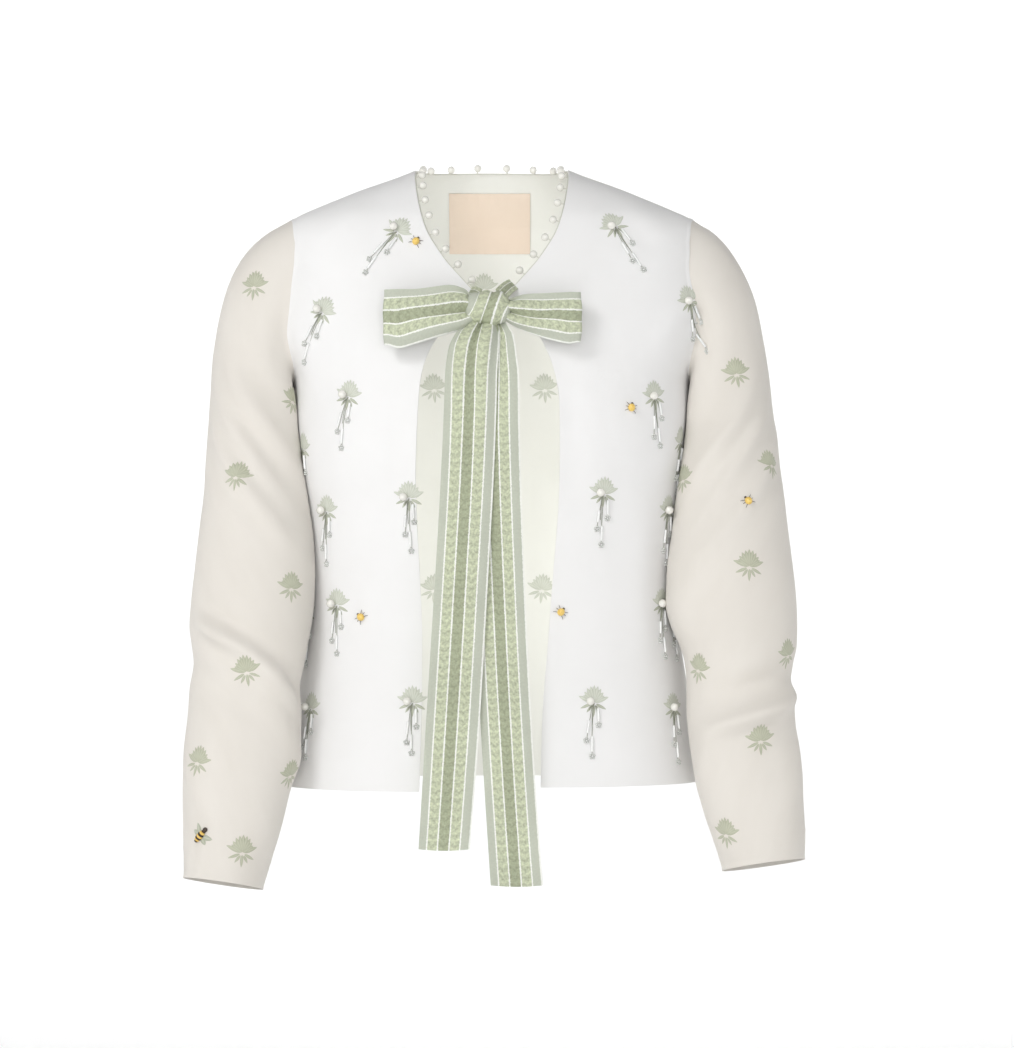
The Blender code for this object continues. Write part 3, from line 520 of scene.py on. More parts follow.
def front_grid(side):
    """The front's outer face with its creases, rolled seams and hem."""
    places = front_places(side, FRONT_COLUMNS)
    smooth = [[form_point(side, h, z) for h, z in row] for row in places]
    normals = grid_normals(smooth, -side)
    for r, row in enumerate(smooth):
        for c, point in enumerate(row):
            push = crease_push(FRONT_CREASES[side], abs(point.x), point.z)
            push += CLOTH_WANDER * noise.noise(point * FRONT_WANDER_SCALE + Vector((side, 3, 7)))
            if r > FRONT_ROWS:
                push -= SEAM_ROLL * near((point - row[-1]).length, ROLL_WIDTH)
            push -= SEAM_ROLL * near((point - smooth[-1][c]).length, ROLL_WIDTH) * SHOULDER_ROLL_SHARE
            push -= HEM_ROLL * near((point - smooth[0][c]).length, HEM_ROLL_WIDTH)
            row[c] = point + normals[r][c] * push
    return smooth


fronts = {}
for side, word in WORD.items():
    grid = front_grid(side)
    piece = cloth_shell("front_panel_" + word, grid, grid_normals(grid, -side), FRONT_WALL, front_cloth)
    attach(piece, "root")
    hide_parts("front_" + word)
    fronts[side] = piece

# The back. One greenish ivory panel, cut in one piece from side seam to side seam, joined to the
# fronts at the shoulders and sides. It hangs from the shoulder blades in long, soft folds.
BACK_WALL = 1.2
BACK_HEM_HEIGHT = -575
BACK_NECK_RISE, NECK_HALF_WIDTH = 3.5, 70
BACK_ROWS, BACK_YOKE_ROWS, HALF_BACK_COLUMNS, SHOULDER_COLUMNS = 46, 42, 48, 20
BACK_IVORY = (0.88, 0.88, 0.835)
BACK_SHADE = (0.83, 0.83, 0.775)
BACK_CREASES = [
    Crease(((-150, -150), (-128, -240), (-118, -360)), 17, 3.6),
    Crease(((-96, -190), (-84, -300), (-80, -430)), 19, 3.2),
    Crease(((-30, -200), (-24, -330), (-30, -470)), 20, 2.4),
    Crease(((44, -190), (38, -310), (42, -460)), 19, 3.0),
    Crease(((104, -180), (92, -290), (88, -420)), 18, 3.4),
    Crease(((152, -150), (134, -230), (122, -350)), 17, 3.6),
    Crease(((-178, -92), (-150, -104), (-112, -108)), 14, 2.8),
    Crease(((178, -96), (148, -110), (108, -112)), 14, 2.6),
    Crease(((-160, -400), (-156, -480), (-160, -560)), 16, 2.6),
    Crease(((154, -390), (152, -470), (158, -560)), 17, 2.8),
]


def back_places():
    """Headings and heights of half the back, from its side seam to its centre, from the hem up.
    Its top edge is the shoulder seam followed by the back neckline."""
    half = HALF_BACK_COLUMNS
    steps = shares(half)
    top = [(90, SHOULDER_TIP_HEIGHT * (1 - i / SHOULDER_COLUMNS)) for i in range(SHOULDER_COLUMNS)]
    for share in shares(half - SHOULDER_COLUMNS):
        top.append((90 + 90 * share, BACK_NECK_RISE * math.sin(share * math.pi / 2) ** 2))
    grid = []
    for share in shares(BACK_ROWS, 0.4)[:-1]:
        height = BACK_HEM_HEIGHT + (UNDERARM_HEIGHT - BACK_HEM_HEIGHT) * share
        grid.append([(90 + 90 * c, height) for c in steps])
    for rise in shares(BACK_YOKE_ROWS):
        side_heading, side_height = armhole_place(rise, "back_heading")
        straight_height = UNDERARM_HEIGHT + (SHOULDER_TIP_HEIGHT - UNDERARM_HEIGHT) * rise
        line = []
        for c, (top_heading, top_height) in zip(steps, top):
            heading = 90 + 90 * c + (top_heading - 90 - 90 * c) * rise
            height = UNDERARM_HEIGHT + (top_height - UNDERARM_HEIGHT) * rise
            heading += (1 - c) * (side_heading - 90)
            height += (1 - c) * (side_height - straight_height)
            line.append((heading, height))
        grid.append(line)
    return grid


def back_grid():
    """The back's outer face, from its right to its left side, with its folds, seams and hem."""
    grid = []
    for line in back_places():
        row = [(RIGHT, *place) for place in line] + [(LEFT, *place) for place in line[-2::-1]]
        grid.append([form_point(*place) for place in row])
    normals = grid_normals(grid, 1)
    smooth = [[p.copy() for p in row] for row in grid]
    for r, row in enumerate(grid):
        for c, point in enumerate(smooth[r]):
            push = crease_push(BACK_CREASES, point.x, point.z)
            push += CLOTH_WANDER * noise.noise(point * BACK_WANDER_SCALE + Vector((5, 1, 9)))
            from_side = min((point - smooth[r][0]).length, (point - smooth[r][-1]).length)
            side_share = 1 if r >= BACK_ROWS else LOW_SIDE_ROLL_SHARE
            push -= SEAM_ROLL * near(from_side, ROLL_WIDTH) * side_share
            if abs(point.x) > NECK_HALF_WIDTH:
                shoulder_roll = near((point - smooth[-1][c]).length, ROLL_WIDTH)
                push -= SHOULDER_ROLL_SHARE * SEAM_ROLL * shoulder_roll
            push -= HEM_ROLL * near((point - smooth[0][c]).length, HEM_ROLL_WIDTH)
            row[c] = point + normals[r][c] * push
    return grid


back_cloth = cloth_material("back cloth", BACK_IVORY, BACK_SHADE, 0.8, 0.0006, 0.35)
outer = back_grid()
back = cloth_shell("back_panel", outer, grid_normals(outer, 1), BACK_WALL, back_cloth)
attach(back, "root")
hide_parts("back")

# The sleeves. Two long two-ended tubes of finer, creamier cloth, set into the armholes with a little
# fullness at the head. They hang with bent elbows: a strong crease at each elbow and softer
# diagonals above and below it.
SLEEVE_WALL = 0.9
SLEEVE_TURNS, CAP_RINGS, ARM_RINGS = 120, 22, 130
BODY_CLEARANCE = 5
SLEEVE_WANDER, SLEEVE_WANDER_SCALE = 1.1, 0.02
ARMHOLE_ROLL, ARMHOLE_ROLL_WIDTH = 0.8, 2.0
HEAD_PUFF, PUFF_FROM_SEAM, PUFF_WIDTH = 0.5, 7, 4
CUFF_ROLL, CUFF_ROLL_WIDTH = 0.6, 1.8
CUFF_STITCH, STITCH_FROM_EDGE, STITCH_WIDTH = 0.35, 27, 1.6
CAP_FULLNESS = {RIGHT: 1.0, LEFT: 0.78}
CAP_LEAVES, CAP_ARRIVES = (0.93, -0.08, -0.37), (0.06, -0.2, -1)
SLEEVE_CREAM = (0.80, 0.765, 0.71)
SLEEVE_SHADE = (0.72, 0.68, 0.62)
ArmRing = namedtuple("ArmRing", "height outer inner forward half_depth side_lift front_lift")
ARM = {
    RIGHT: [
        ArmRing(-236, 262, 172, 15, 54, 0, 0),
        ArmRing(-272, 264.5, 170, 26, 53, 0, 0),
        ArmRing(-308, 267, 165.5, 39, 52, 0, 0),
        ArmRing(-341, 270, 163.5, 50, 52, 0, 0),
        ArmRing(-374, 273, 163.5, 59, 52, 0, 0),
        ArmRing(-402, 276, 164.5, 64, 52, 0, 0),
        ArmRing(-424, 277.5, 167, 67, 52, 0, 0),
        ArmRing(-443, 275, 170, 70, 51, 0, 0),
        ArmRing(-460, 273, 173, 73, 50, 0, 0),
        ArmRing(-481, 276, 177, 77, 49, 0, 1),
        ArmRing(-508, 278, 175, 81, 48, 0, 2),
        ArmRing(-540, 280, 175, 86, 46, 0, 3),
        ArmRing(-575, 280.5, 185, 91, 43.5, 1, 4),
        ArmRing(-608, 280, 193, 96, 41, 2, 5),
        ArmRing(-636, 279.5, 202, 101, 38.5, 3.5, 6),
        ArmRing(-658, 279, 209, 104, 37, 5, 6),
    ],
    LEFT: [
        ArmRing(-236, 261.5, 173, 15, 54, 0, 0),
        ArmRing(-272, 265.5, 170, 26, 53, 0, 0),
        ArmRing(-308, 270, 167, 39, 52, 0, 0),
        ArmRing(-341, 273.5, 164, 50, 52, 0, 0),
        ArmRing(-374, 277, 161, 59, 52, 0, 0),
        ArmRing(-402, 280, 161, 64, 52, 0, 0),
        ArmRing(-424, 281, 166, 67, 52, 0, 0),
        ArmRing(-443, 280, 174, 70, 51, 0, 0),
        ArmRing(-460, 277, 178.5, 73, 50, 0, 0),
        ArmRing(-479, 273, 180, 76, 49, 0, 1),
        ArmRing(-500, 277, 180, 79, 48, 0, 2),
        ArmRing(-528, 280, 181.5, 84, 46, 0, 3),
        ArmRing(-559, 282, 186, 88, 44, 1, 4),
        ArmRing(-590, 283.5, 194, 93, 41.5, 2, 5),
        ArmRing(-619, 284.5, 204, 97, 39.5, 3.5, 6),
        ArmRing(-641.5, 284, 211.5, 100, 38, 5, 6),
    ],
}

# Folds run from one place on the sleeve to another. Turns are degrees round the arm: 0 outer
# side, 90 front, 180 inner side, 270 back. Below zero they press in, above zero they stand out.
FOLD_STRENGTH, FOLD_OVERRUN, MM_PER_DEGREE = 1.2, 0.2, 0.9
Fold = namedtuple("Fold", "start_turn start_height end_turn end_height half_width depth")
SLEEVE_FOLDS = {
    RIGHT: [
        Fold(32, -414, 100, -450, 8, -9),
        Fold(88, -443, 160, -499, 8, -10),
        Fold(25, -396, 150, -462, 11, 4.5),
        Fold(8, -452, 120, -512, 12, 3),
        Fold(30, -170, 135, -275, 9, -5.2),
        Fold(40, -150, 140, -238, 11, 1.8),
        Fold(18, -190, 118, -305, 8, -4.2),
        Fold(20, -228, 120, -345, 9, -4.8),
        Fold(60, -210, 160, -330, 12, 2.2),
        Fold(15, -275, 105, -360, 12, -2.4),
        Fold(70, -300, 165, -380, 13, -2.4),
        Fold(100, -470, 178, -560, 12, -2.6),
        Fold(5, -520, 80, -610, 15, -2.2),
        Fold(95, -560, 170, -630, 13, -1.8),
        Fold(205, -300, 330, -440, 15, -4),
        Fold(210, -420, 330, -500, 14, -4),
        Fold(200, -200, 320, -300, 14, -3),
        Fold(215, -520, 330, -600, 15, -2.4),
        Fold(-15, -150, 10, -290, 14, -2),
    ],
    LEFT: [
        Fold(-5, -482, 140, -520, 8, -10),
        Fold(5, -458, 150, -494, 11, 5.5),
        Fold(-10, -512, 120, -552, 12, 3),
        Fold(35, -186, 140, -300, 9, -5.0),
        Fold(45, -165, 150, -262, 11, 1.8),
        Fold(15, -250, 120, -362, 9, -4.6),
        Fold(25, -212, 125, -324, 8, -4.0),
        Fold(20, -300, 110, -400, 13, -2.6),
        Fold(70, -330, 165, -415, 13, -2.2),
        Fold(60, -240, 160, -350, 12, 2.2),
        Fold(95, -500, 175, -575, 12, -2.6),
        Fold(5, -545, 85, -620, 15, -2.2),
        Fold(205, -310, 330, -450, 15, -4),
        Fold(210, -430, 330, -505, 14, -4),
        Fold(200, -205, 320, -305, 14, -3),
        Fold(215, -515, 330, -590, 15, -2.4),
        Fold(-18, -160, 8, -300, 14, -2),
    ],
}


def armhole_point(side, turn):
    """A point of the armhole at a turn round the arm: 0 shoulder tip, 90 front, 180 underarm."""
    turn = turn % 360
    face = "front_heading" if turn <= 180 else "back_heading"
    rise = 1 - turn / 180 if turn <= 180 else (turn - 180) / 180
    heading, height = armhole_place(rise, face)
    return form_point(side, heading, height)


def clear_of_body(point, gap):
    """Moves a point outward, level with itself, until it clears the body by a gap."""
    height = min(max(point.z, FORM[0].height), UNDERARM_HEIGHT)
    half_width = read_table(FORM, "height", "half_width", height)
    depth = read_table(FORM, "height", "front_depth" if point.y <= 0 else "back_depth", height)
    roundness = read_table(FORM, "height", "roundness", height)
    reach = (abs(point.x) / (half_width + gap)) ** roundness + (abs(point.y) / (depth + gap)) ** roundness
    reach = reach ** (1 / roundness)
    return point if reach >= 1 else Vector((point.x / reach, point.y / reach, point.z))


def ring_point(side, ring, turn):
    """A point of one ring of the arm at a turn round it."""
    angle = math.radians(turn)
    middle, half_width = (ring.outer + ring.inner) / 2, (ring.outer - ring.inner) / 2
    across = side * (middle + half_width * math.cos(angle))
    forward = -ring.forward - ring.half_depth * math.sin(angle)
    height = ring.height + ring.side_lift * math.cos(angle) + ring.front_lift * math.sin(angle)
    return clear_of_body(Vector((across, forward, height)), BODY_CLEARANCE)


def cap_point(side, turn, share):
    """A point of the sleeve cap: a curve from the armhole seam out and down to the first ring."""
    start = armhole_point(side, turn)
    end = ring_point(side, ARM[side][0], turn)
    facing = 0.5 + 0.5 * math.cos(math.radians(turn))
    reach = (end - start).length
    out, forward, down = CAP_LEAVES
    leave = Vector((side * out, forward * math.sin(math.radians(turn)), down))
    leave *= reach * (0.55 + 0.7 * facing) * CAP_FULLNESS[side]
    out, forward, down = CAP_ARRIVES
    arrive = Vector((side * out, forward, down)) * reach * (0.8 + 0.25 * facing)
    t = share
    point = start * (2 * t**3 - 3 * t**2 + 1) + leave * (t**3 - 2 * t**2 + t)
    return point + end * (3 * t**2 - 2 * t**3) + arrive * (t**3 - t**2)


def fold_offset(folds, turn, height):
    """How far the folds push the cloth out of (or, below zero, into) its smooth form."""
    total = 0
    for fold in folds:
        span_turn = (fold.end_turn - fold.start_turn) * MM_PER_DEGREE
        span_height = fold.end_height - fold.start_height
        length = math.hypot(span_turn, span_height)
        from_start = ((turn - fold.start_turn + 180) % 360 - 180) * MM_PER_DEGREE
        drop = height - fold.start_height
        along = (from_start * span_turn + drop * span_height) / length**2
        across = (from_start * span_height - drop * span_turn) / length
        if -FOLD_OVERRUN < along < 1 + FOLD_OVERRUN:
            taper = math.cos((along - 0.5) / (0.5 + FOLD_OVERRUN) * math.pi / 2) ** 2
            total += fold.depth * taper * near(across, fold.half_width)
    return total


def sleeve_grid(side):
    """The sleeve's outer face, ring by ring from the armhole down to the cuff."""
    turns = [360 * i / SLEEVE_TURNS for i in range(SLEEVE_TURNS)]
    rings = [[cap_point(side, turn, share) for turn in turns] for share in shares(CAP_RINGS)]
    top, bottom = ARM[side][0].height, ARM[side][-1].height
    for share in shares(ARM_RINGS)[1:]:
        height = top + (bottom - top) * share
        ring = ArmRing(height, *read_row(ARM[side], height))
        rings.append([ring_point(side, ring, turn) for turn in turns])
    normals = grid_normals(rings, -side, tube=True)
    last = len(rings) - 1
    found = []
    for r, ring in enumerate(rings):
        line = []
        for c, turn in enumerate(turns):
            push = FOLD_STRENGTH * fold_offset(SLEEVE_FOLDS[side], turn, ring[c].z)
            wander = noise.noise(ring[c] * SLEEVE_WANDER_SCALE + Vector((side * 4, 2, 6)))
            push += SLEEVE_WANDER * wander
            push *= min(r / 6, 1) * min((last - r) / 8, 1)
            down = (ring[c] - rings[0][c]).length
            roll = ARMHOLE_ROLL * near(down, ARMHOLE_ROLL_WIDTH)
            push -= roll - HEAD_PUFF * near(down - PUFF_FROM_SEAM, PUFF_WIDTH)
            up = (ring[c] - rings[last][c]).length
            roll = CUFF_ROLL * near(up, CUFF_ROLL_WIDTH)
            push -= roll + CUFF_STITCH * near(up - STITCH_FROM_EDGE, STITCH_WIDTH)
            moved = ring[c] + normals[r][c] * push
            line.append(clear_of_body(moved, BODY_CLEARANCE) if r > 3 else moved)
        found.append(line)
    return found


sleeve_cloth = cloth_material("sleeve cloth", SLEEVE_CREAM, SLEEVE_SHADE, 0.75, 0.0005, 0.3, sheen=0.2)
sleeves = {}
for side, word in WORD.items():
    outer = sleeve_grid(side)
    normals = grid_normals(outer, -side, tube=True)
    piece = cloth_shell("set_in_sleeve_" + word, outer, normals, SLEEVE_WALL, sleeve_cloth, tube=True)
    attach(piece, "root")
    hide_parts("sleeve_" + word)
    sleeves[side] = piece

# The ribbon. One striped tie is sewn to each neck corner and the two are knotted in a bow: a
# knot, two loops and two long tails. Narrow white lines part bands of crinkled light green, woven
# dark green and plain grey green. The cloth is gathered in pleats where it enters the knot.
RIBBON_WALL = 0.8
RIBBON_WIDTH = 47
Stripe = namedtuple("Stripe", "width colour crinkle")
PLAIN_GREEN = (0.50, 0.525, 0.44)
LIGHT_GREEN = (0.52, 0.555, 0.40)
DARK_GREEN = (0.37, 0.40, 0.275)
BAND_STEP, FIRST_BAND_MIDDLE, BRAID_STEP, BRAID_SLANT = 20.5, 12.15, 8.0, 2.6
STRAND_TINT, STRAND_HEIGHT = 0.12, 0.5
LINE_WHITE = (0.84, 0.85, 0.80)
STRIPES = [
    Stripe(6.5, PLAIN_GREEN, 0.0),
    Stripe(1.3, LINE_WHITE, 0.0),
    Stripe(8.7, LIGHT_GREEN, 1.0),
    Stripe(1.3, LINE_WHITE, 0.0),
    Stripe(9.2, DARK_GREEN, 0.7),
    Stripe(1.3, LINE_WHITE, 0.0),
    Stripe(8.7, LIGHT_GREEN, 1.0),
    Stripe(1.3, LINE_WHITE, 0.0),
    Stripe(7.2, PLAIN_GREEN, 0.0),
    Stripe(1.5, LINE_WHITE, 0.0),
]


def build_stripes():
    """The ribbon's woven stripes across its width, as a colour and as a mask of the crinkled bands."""
    group, start, end = node_group(
        "ribbon stripes",
        [("Vector", "NodeSocketVector", (0, 0, 0))],
        [("Colour", "NodeSocketColor"), ("Crinkle", "NodeSocketFloat"), ("Braid", "NodeSocketFloat")],
    )
    fray = add_node(group, "ShaderNodeTexNoise", [("Vector", start.outputs["Vector"])], Scale=650, Detail=2)
    parts = add_node(group, "ShaderNodeSeparateXYZ", [(0, start.outputs["Vector"])])
    share = math_node(group, "DIVIDE", parts.outputs["X"], RIBBON_WIDTH * MM)
    ragged = math_node(group, "MULTIPLY", math_node(group, "SUBTRACT", fray.outputs["Fac"], 0.5), 0.03)
    share = math_node(group, "ADD", math_node(group, "ADD", share, ragged), 0.5)
    aside = math_node(group, "SUBTRACT", share, FIRST_BAND_MIDDLE / RIBBON_WIDTH)
    aside = math_node(group, "MULTIPLY", aside, 2 * math.pi * RIBBON_WIDTH / BAND_STEP)
    peak = math_node(group, "ABSOLUTE", math_node(group, "SINE", aside))
    slant = math_node(group, "MULTIPLY", peak, BRAID_SLANT)
    along = math_node(group, "MULTIPLY", parts.outputs["Y"], 2 * math.pi / (BRAID_STEP * MM))
    braid = math_node(group, "SINE", math_node(group, "ADD", along, slant))
    group.links.new(braid, end.inputs["Braid"])
    colours = [stripe.colour for stripe in STRIPES]
    crinkles = [(stripe.crinkle,) * 3 for stripe in STRIPES]
    for socket, values in (("Colour", colours), ("Crinkle", crinkles)):
        ramp = add_node(group, "ShaderNodeValToRGB", [(0, share)])
        ramp.color_ramp.interpolation = "CONSTANT"
        stops = ramp.color_ramp.elements
        reached = 0
        for stripe, value in zip(STRIPES, values):
            if reached:
                stop = stops.new(reached / RIBBON_WIDTH)
            else:
                stops.remove(stops[1])
                stop = stops[0]
                stop.position = 0
            stop.color = (*value, 1)
            reached += stripe.width
        group.links.new(ramp.outputs["Color"], end.inputs[socket])
    return group


def build_ribbon_material():
    """The stripes with their braided strands, speckled, over a coarse weave."""
    made, tree, shader = start_material(
        "striped ribbon", Roughness=0.75, Sheen_Weight=0.15, Specular_IOR_Level=0.25
    )
    place = add_node(tree, "ShaderNodeUVMap", uv_map="cloth")
    stripes = add_node(tree, "ShaderNodeGroup", [(0, place.outputs[0])], node_tree=build_stripes())
    threads = add_node(
        tree, "ShaderNodeGroup", [(0, place.outputs[0])], node_tree=weave, Thread=0.0011
    )
    cells = add_node(tree, "ShaderNodeTexVoronoi", [("Vector", place.outputs[0])], Scale=420)
    blotch = add_node(tree, "ShaderNodeTexNoise", [("Vector", place.outputs[0])], Scale=520, Detail=3)
    speckle = math_node(tree, "SUBTRACT", blotch.outputs["Fac"], 0.5)
    speckle = math_node(tree, "MULTIPLY", speckle, math_node(tree, "ADD", stripes.outputs["Crinkle"], 0.25))
    strands = math_node(tree, "MULTIPLY", stripes.outputs["Braid"], stripes.outputs["Crinkle"])
    speckle = math_node(tree, "ADD", speckle, math_node(tree, "MULTIPLY", strands, STRAND_TINT))
    lift = math_node(tree, "ADD", math_node(tree, "MULTIPLY", speckle, 0.9), 1)
    shade = math_node(tree, "ADD", math_node(tree, "MULTIPLY", threads.outputs["Shade"], 0.25), 0.87)
    lift = math_node(tree, "MULTIPLY", lift, shade)
    grey = add_node(tree, "ShaderNodeCombineColor", [(0, lift), (1, lift), (2, lift)])
    colour = mix_colours(tree, 1.0, stripes.outputs["Colour"], grey.outputs[0], blend="MULTIPLY")
    bumps = math_node(tree, "MULTIPLY", cells.outputs["Distance"], stripes.outputs["Crinkle"])
    bumps = math_node(tree, "ADD", bumps, math_node(tree, "MULTIPLY", threads.outputs["Height"], 0.3))
    bumps = math_node(tree, "ADD", bumps, math_node(tree, "MULTIPLY", strands, STRAND_HEIGHT))
    link_surface(tree, shader, colour, bumps, 0.5, 0.0007)
    return made


ribbon = build_ribbon_material()
KNOT_CENTRE = Vector((-3, -126, -136))
KNOT_HALF = Vector((19, 12.5, 15.5))
KNOT_TURNS, KNOT_RINGS = 96, 56
FINE_FOLD, FINE_FOLD_STEP, BROAD_FOLD, BROAD_FOLD_STEP = 0.075, 2.1, 0.05, 5.3
KNOT_WALL, KNOT_END, KNOT_SLANT, KNOT_FULLNESS = 2.5, 0.04, 5.0, 0.75
LoopStation = namedtuple("LoopStation", "from_knot top bottom front_bulge back_gap")
BOW_LOOP = {
    RIGHT: [
        LoopStation(0, -126, -148, 2, 3),
        LoopStation(7, -118.5, -153.5, 6, 3.5),
        LoopStation(20, -115.5, -159, 9, 4),
        LoopStation(34, -116.5, -163.5, 10, 4.5),
        LoopStation(50, -118.5, -168, 9, 4.5),
        LoopStation(63, -119.5, -171.5, 7, 4.5),
        LoopStation(71, -120, -169.5, 5, 4),
    ],
    LEFT: [
        LoopStation(0, -129, -145.5, 2, 3),
        LoopStation(7, -127, -151.5, 5.5, 3.5),
        LoopStation(18, -124, -158, 8, 4),
        LoopStation(31, -122.5, -163, 9, 4.5),
        LoopStation(45, -121.5, -166, 8, 4.5),
        LoopStation(55, -121.5, -167.5, 6.5, 4.5),
        LoopStation(61, -122, -166.5, 5, 4),
    ],
}
LOOP_COLUMNS, LOOP_STATIONS, LOOP_BEND = 36, 40, 14
LOOP_INSIDE_KNOT, LOOP_ARCH, LOOP_WAVE, BACK_PLEAT_SHARE = 5, 0.45, 0.7, 0.4

# Tails: the side edges of the cloth, how far forward its middle lies and how far it bows out.
TailStation = namedtuple("TailStation", "height right_edge left_edge forward crown")
BOW_TAIL = {
    RIGHT: [
        TailStation(-146, -22, 5, 122, 1),
        TailStation(-152, -27, 6.5, 129, 3),
        TailStation(-159, -33, 7.5, 135, 5),
        TailStation(-172, -39, 7, 138.5, 4.5),
        TailStation(-195, -42, 5.5, 137.5, 3),
        TailStation(-230, -43, 4.5, 136, 2),
        TailStation(-290, -45.5, 2, 135, 1.5),
        TailStation(-370, -50, -2.5, 134, 2),
        TailStation(-450, -55, -7, 134, 1.5),
        TailStation(-530, -60, -12, 134, -1.5),
        TailStation(-600, -64, -17.5, 134, 1.5),
        TailStation(-624, -65.5, -19.5, 134, 1),
    ],
    LEFT: [
        TailStation(-146, -7, 11, 119, 1),
        TailStation(-152, -9, 15, 125, 2),
        TailStation(-161, -12.5, 20, 129.5, 3),
        TailStation(-176, -17, 22.5, 131, 3),
        TailStation(-200, -20, 25, 131, 2.5),
        TailStation(-240, -21.5, 25.5, 130.5, 2),
        TailStation(-300, -20, 27, 129.8, 1.5),
        TailStation(-380, -16.5, 30, 129.5, -1.2),
        TailStation(-460, -12.5, 33.5, 129.5, 1.5),
        TailStation(-540, -8, 38, 129.5, 2),
        TailStation(-620, -3, 43.5, 129.5, -1.5),
        TailStation(-657, -0.5, 46.5, 129.5, 1),
    ],
}
TAIL_COLUMNS, TAIL_ROWS = 40, 130
TAIL_SWAY, SWAY_STEP, EDGE_CURL, CUT_BOW, TUCK_BEHIND_KNOT = 1.0, 41, 0.9, 1.2, 7
Pleats = namedtuple("Pleats", "count start depth reach")
TAIL_PLEATS = {RIGHT: Pleats(2.3, 0.3, 4.6, 50), LEFT: Pleats(1.6, 1.4, 3.4, 42)}
LOOP_PLEATS = {RIGHT: Pleats(2.1, 0.2, 4.4, 30), LEFT: Pleats(2.4, 2.2, 4.0, 26)}
PLEAT_DRAW = 1.3
TieRoot = namedtuple("TieRoot", "sewn_x sewn_z knot_x knot_z sewn_half_width knot_half_width")
TIE_ROOT = {
    RIGHT: TieRoot(-19.5, -119.5, -11, -124, 4.5, 5.5),
    LEFT: TieRoot(20, -113, 8.5, -124, 6, 7),
}
ROOT_ROWS, ROOT_COLUMNS, ROOT_GATHER, ROOT_RISE, ROOT_MAP_WIDTH = 16, 18, 1.1, 1.2, 26


def ribbon_strip(name, rows, width, replaced):
    """A length of ribbon from rows of points along the middle of its cloth."""
    normals = grid_normals(rows, 1)
    outer = [[p + n * RIBBON_WALL / 2 for p, n in zip(*pair)] for pair in zip(rows, normals)]
    columns = len(rows[0]) - 1
    uv, down = [], 0.0
    for r, row in enumerate(rows):
        if r:
            down += (row[columns // 2] - rows[r - 1][columns // 2]).length
        uv.append([((c / columns - 0.5) * width, down) for c in range(columns + 2)])
    piece = cloth_shell(name, outer, normals, RIBBON_WALL, ribbon, uv=uv)
    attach(piece, "root")
    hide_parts(replaced)
    return piece


def pleat_push(pleats, across, distance):
    """How far the gathers stand forward at a place across the ribbon, away from the knot."""
    wave = math.cos(2 * math.pi * (pleats.count * across + pleats.start))
    return pleats.depth * wave * math.exp(-distance / pleats.reach)


def pleat_shift(pleats, across, distance):
    """How far the gathers draw the cloth sideways, so that it bunches at each fold."""
    wave = math.sin(2 * math.pi * (pleats.count * across + pleats.start))
    return PLEAT_DRAW * wave * math.exp(-distance / pleats.reach)


def tail_rows(side):
    """A tail: the ribbon from behind the knot down to its cut end, row by row."""
    stations = BOW_TAIL[side]
    top, bottom = stations[0].height, stations[-1].height
    rows = []
    for share in shares(TAIL_ROWS):
        height = top + (bottom - top) * (share**1.25)
        right, left, forward, crown = read_row(stations, height)
        row = []
        for c in shares(TAIL_COLUMNS):
            out = forward + crown * math.sin(math.pi * c)
            out += pleat_push(TAIL_PLEATS[side], c, top - height)
            sway = TAIL_SWAY * math.sin(height / SWAY_STEP + side)
            out += sway * (c - 0.5) * min((top - height) / 80, 1)
            curl = EDGE_CURL * (2 * c - 1) ** 8
            across = right + (left - right) * c + pleat_shift(TAIL_PLEATS[side], c, top - height)
            tuck = 0 if share else TUCK_BEHIND_KNOT
            row.append(Vector((across, -out + curl, height + tuck)))
        rows.append(row)
    drop = rows[-1][-1] - rows[-1][0]
    for c, point in enumerate(rows[-1]):
        point.z -= CUT_BOW * math.sin(math.pi * c / len(rows[-1])) * (1 if drop.x > 0 else -1)
    return rows


def loop_rows(side):
    """A bow loop: the ribbon runs out from the knot in front, folds over and runs back behind."""
    stations = BOW_LOOP[side]
    far = stations[-1]
    start_x = KNOT_CENTRE.x + side * (KNOT_HALF.x - LOOP_INSIDE_KNOT)
    front, back = [], []
    for share in shares(LOOP_STATIONS):
        at = far.from_knot * share
        top, bottom, bulge, gap = read_row(stations, at)
        lines = []
        for offset, lies_front in ((-bulge, True), (gap, False)):
            line = []
            for c in shares(LOOP_COLUMNS):
                arch = 1 - LOOP_ARCH * abs(2 * c - 1) ** 2 if lies_front else 1
                y = KNOT_CENTRE.y + offset * arch
                y -= pleat_push(LOOP_PLEATS[side], c, at) * (1 if lies_front else -BACK_PLEAT_SHARE)
                x = start_x + side * (at + LOOP_INSIDE_KNOT * share)
                z = top + (bottom - top) * c + LOOP_WAVE * math.sin(at / 9 + 5 * c)
                z -= pleat_shift(LOOP_PLEATS[side], c, at)
                line.append(Vector((x, y, z)))
            lines.append(line)
        front.append(lines[0])
        back.append(lines[1])
    bend = []
    for step in range(1, LOOP_BEND):
        turn = math.pi * step / LOOP_BEND
        line = []
        for a, b in zip(front[-1], back[-1]):
            radius = (b.y - a.y) / 2
            middle = (a + b) / 2
            line.append(middle + Vector((side * radius * math.sin(turn), -radius * math.cos(turn), 0)))
        bend.append(line)
    return front + bend + back[::-1]


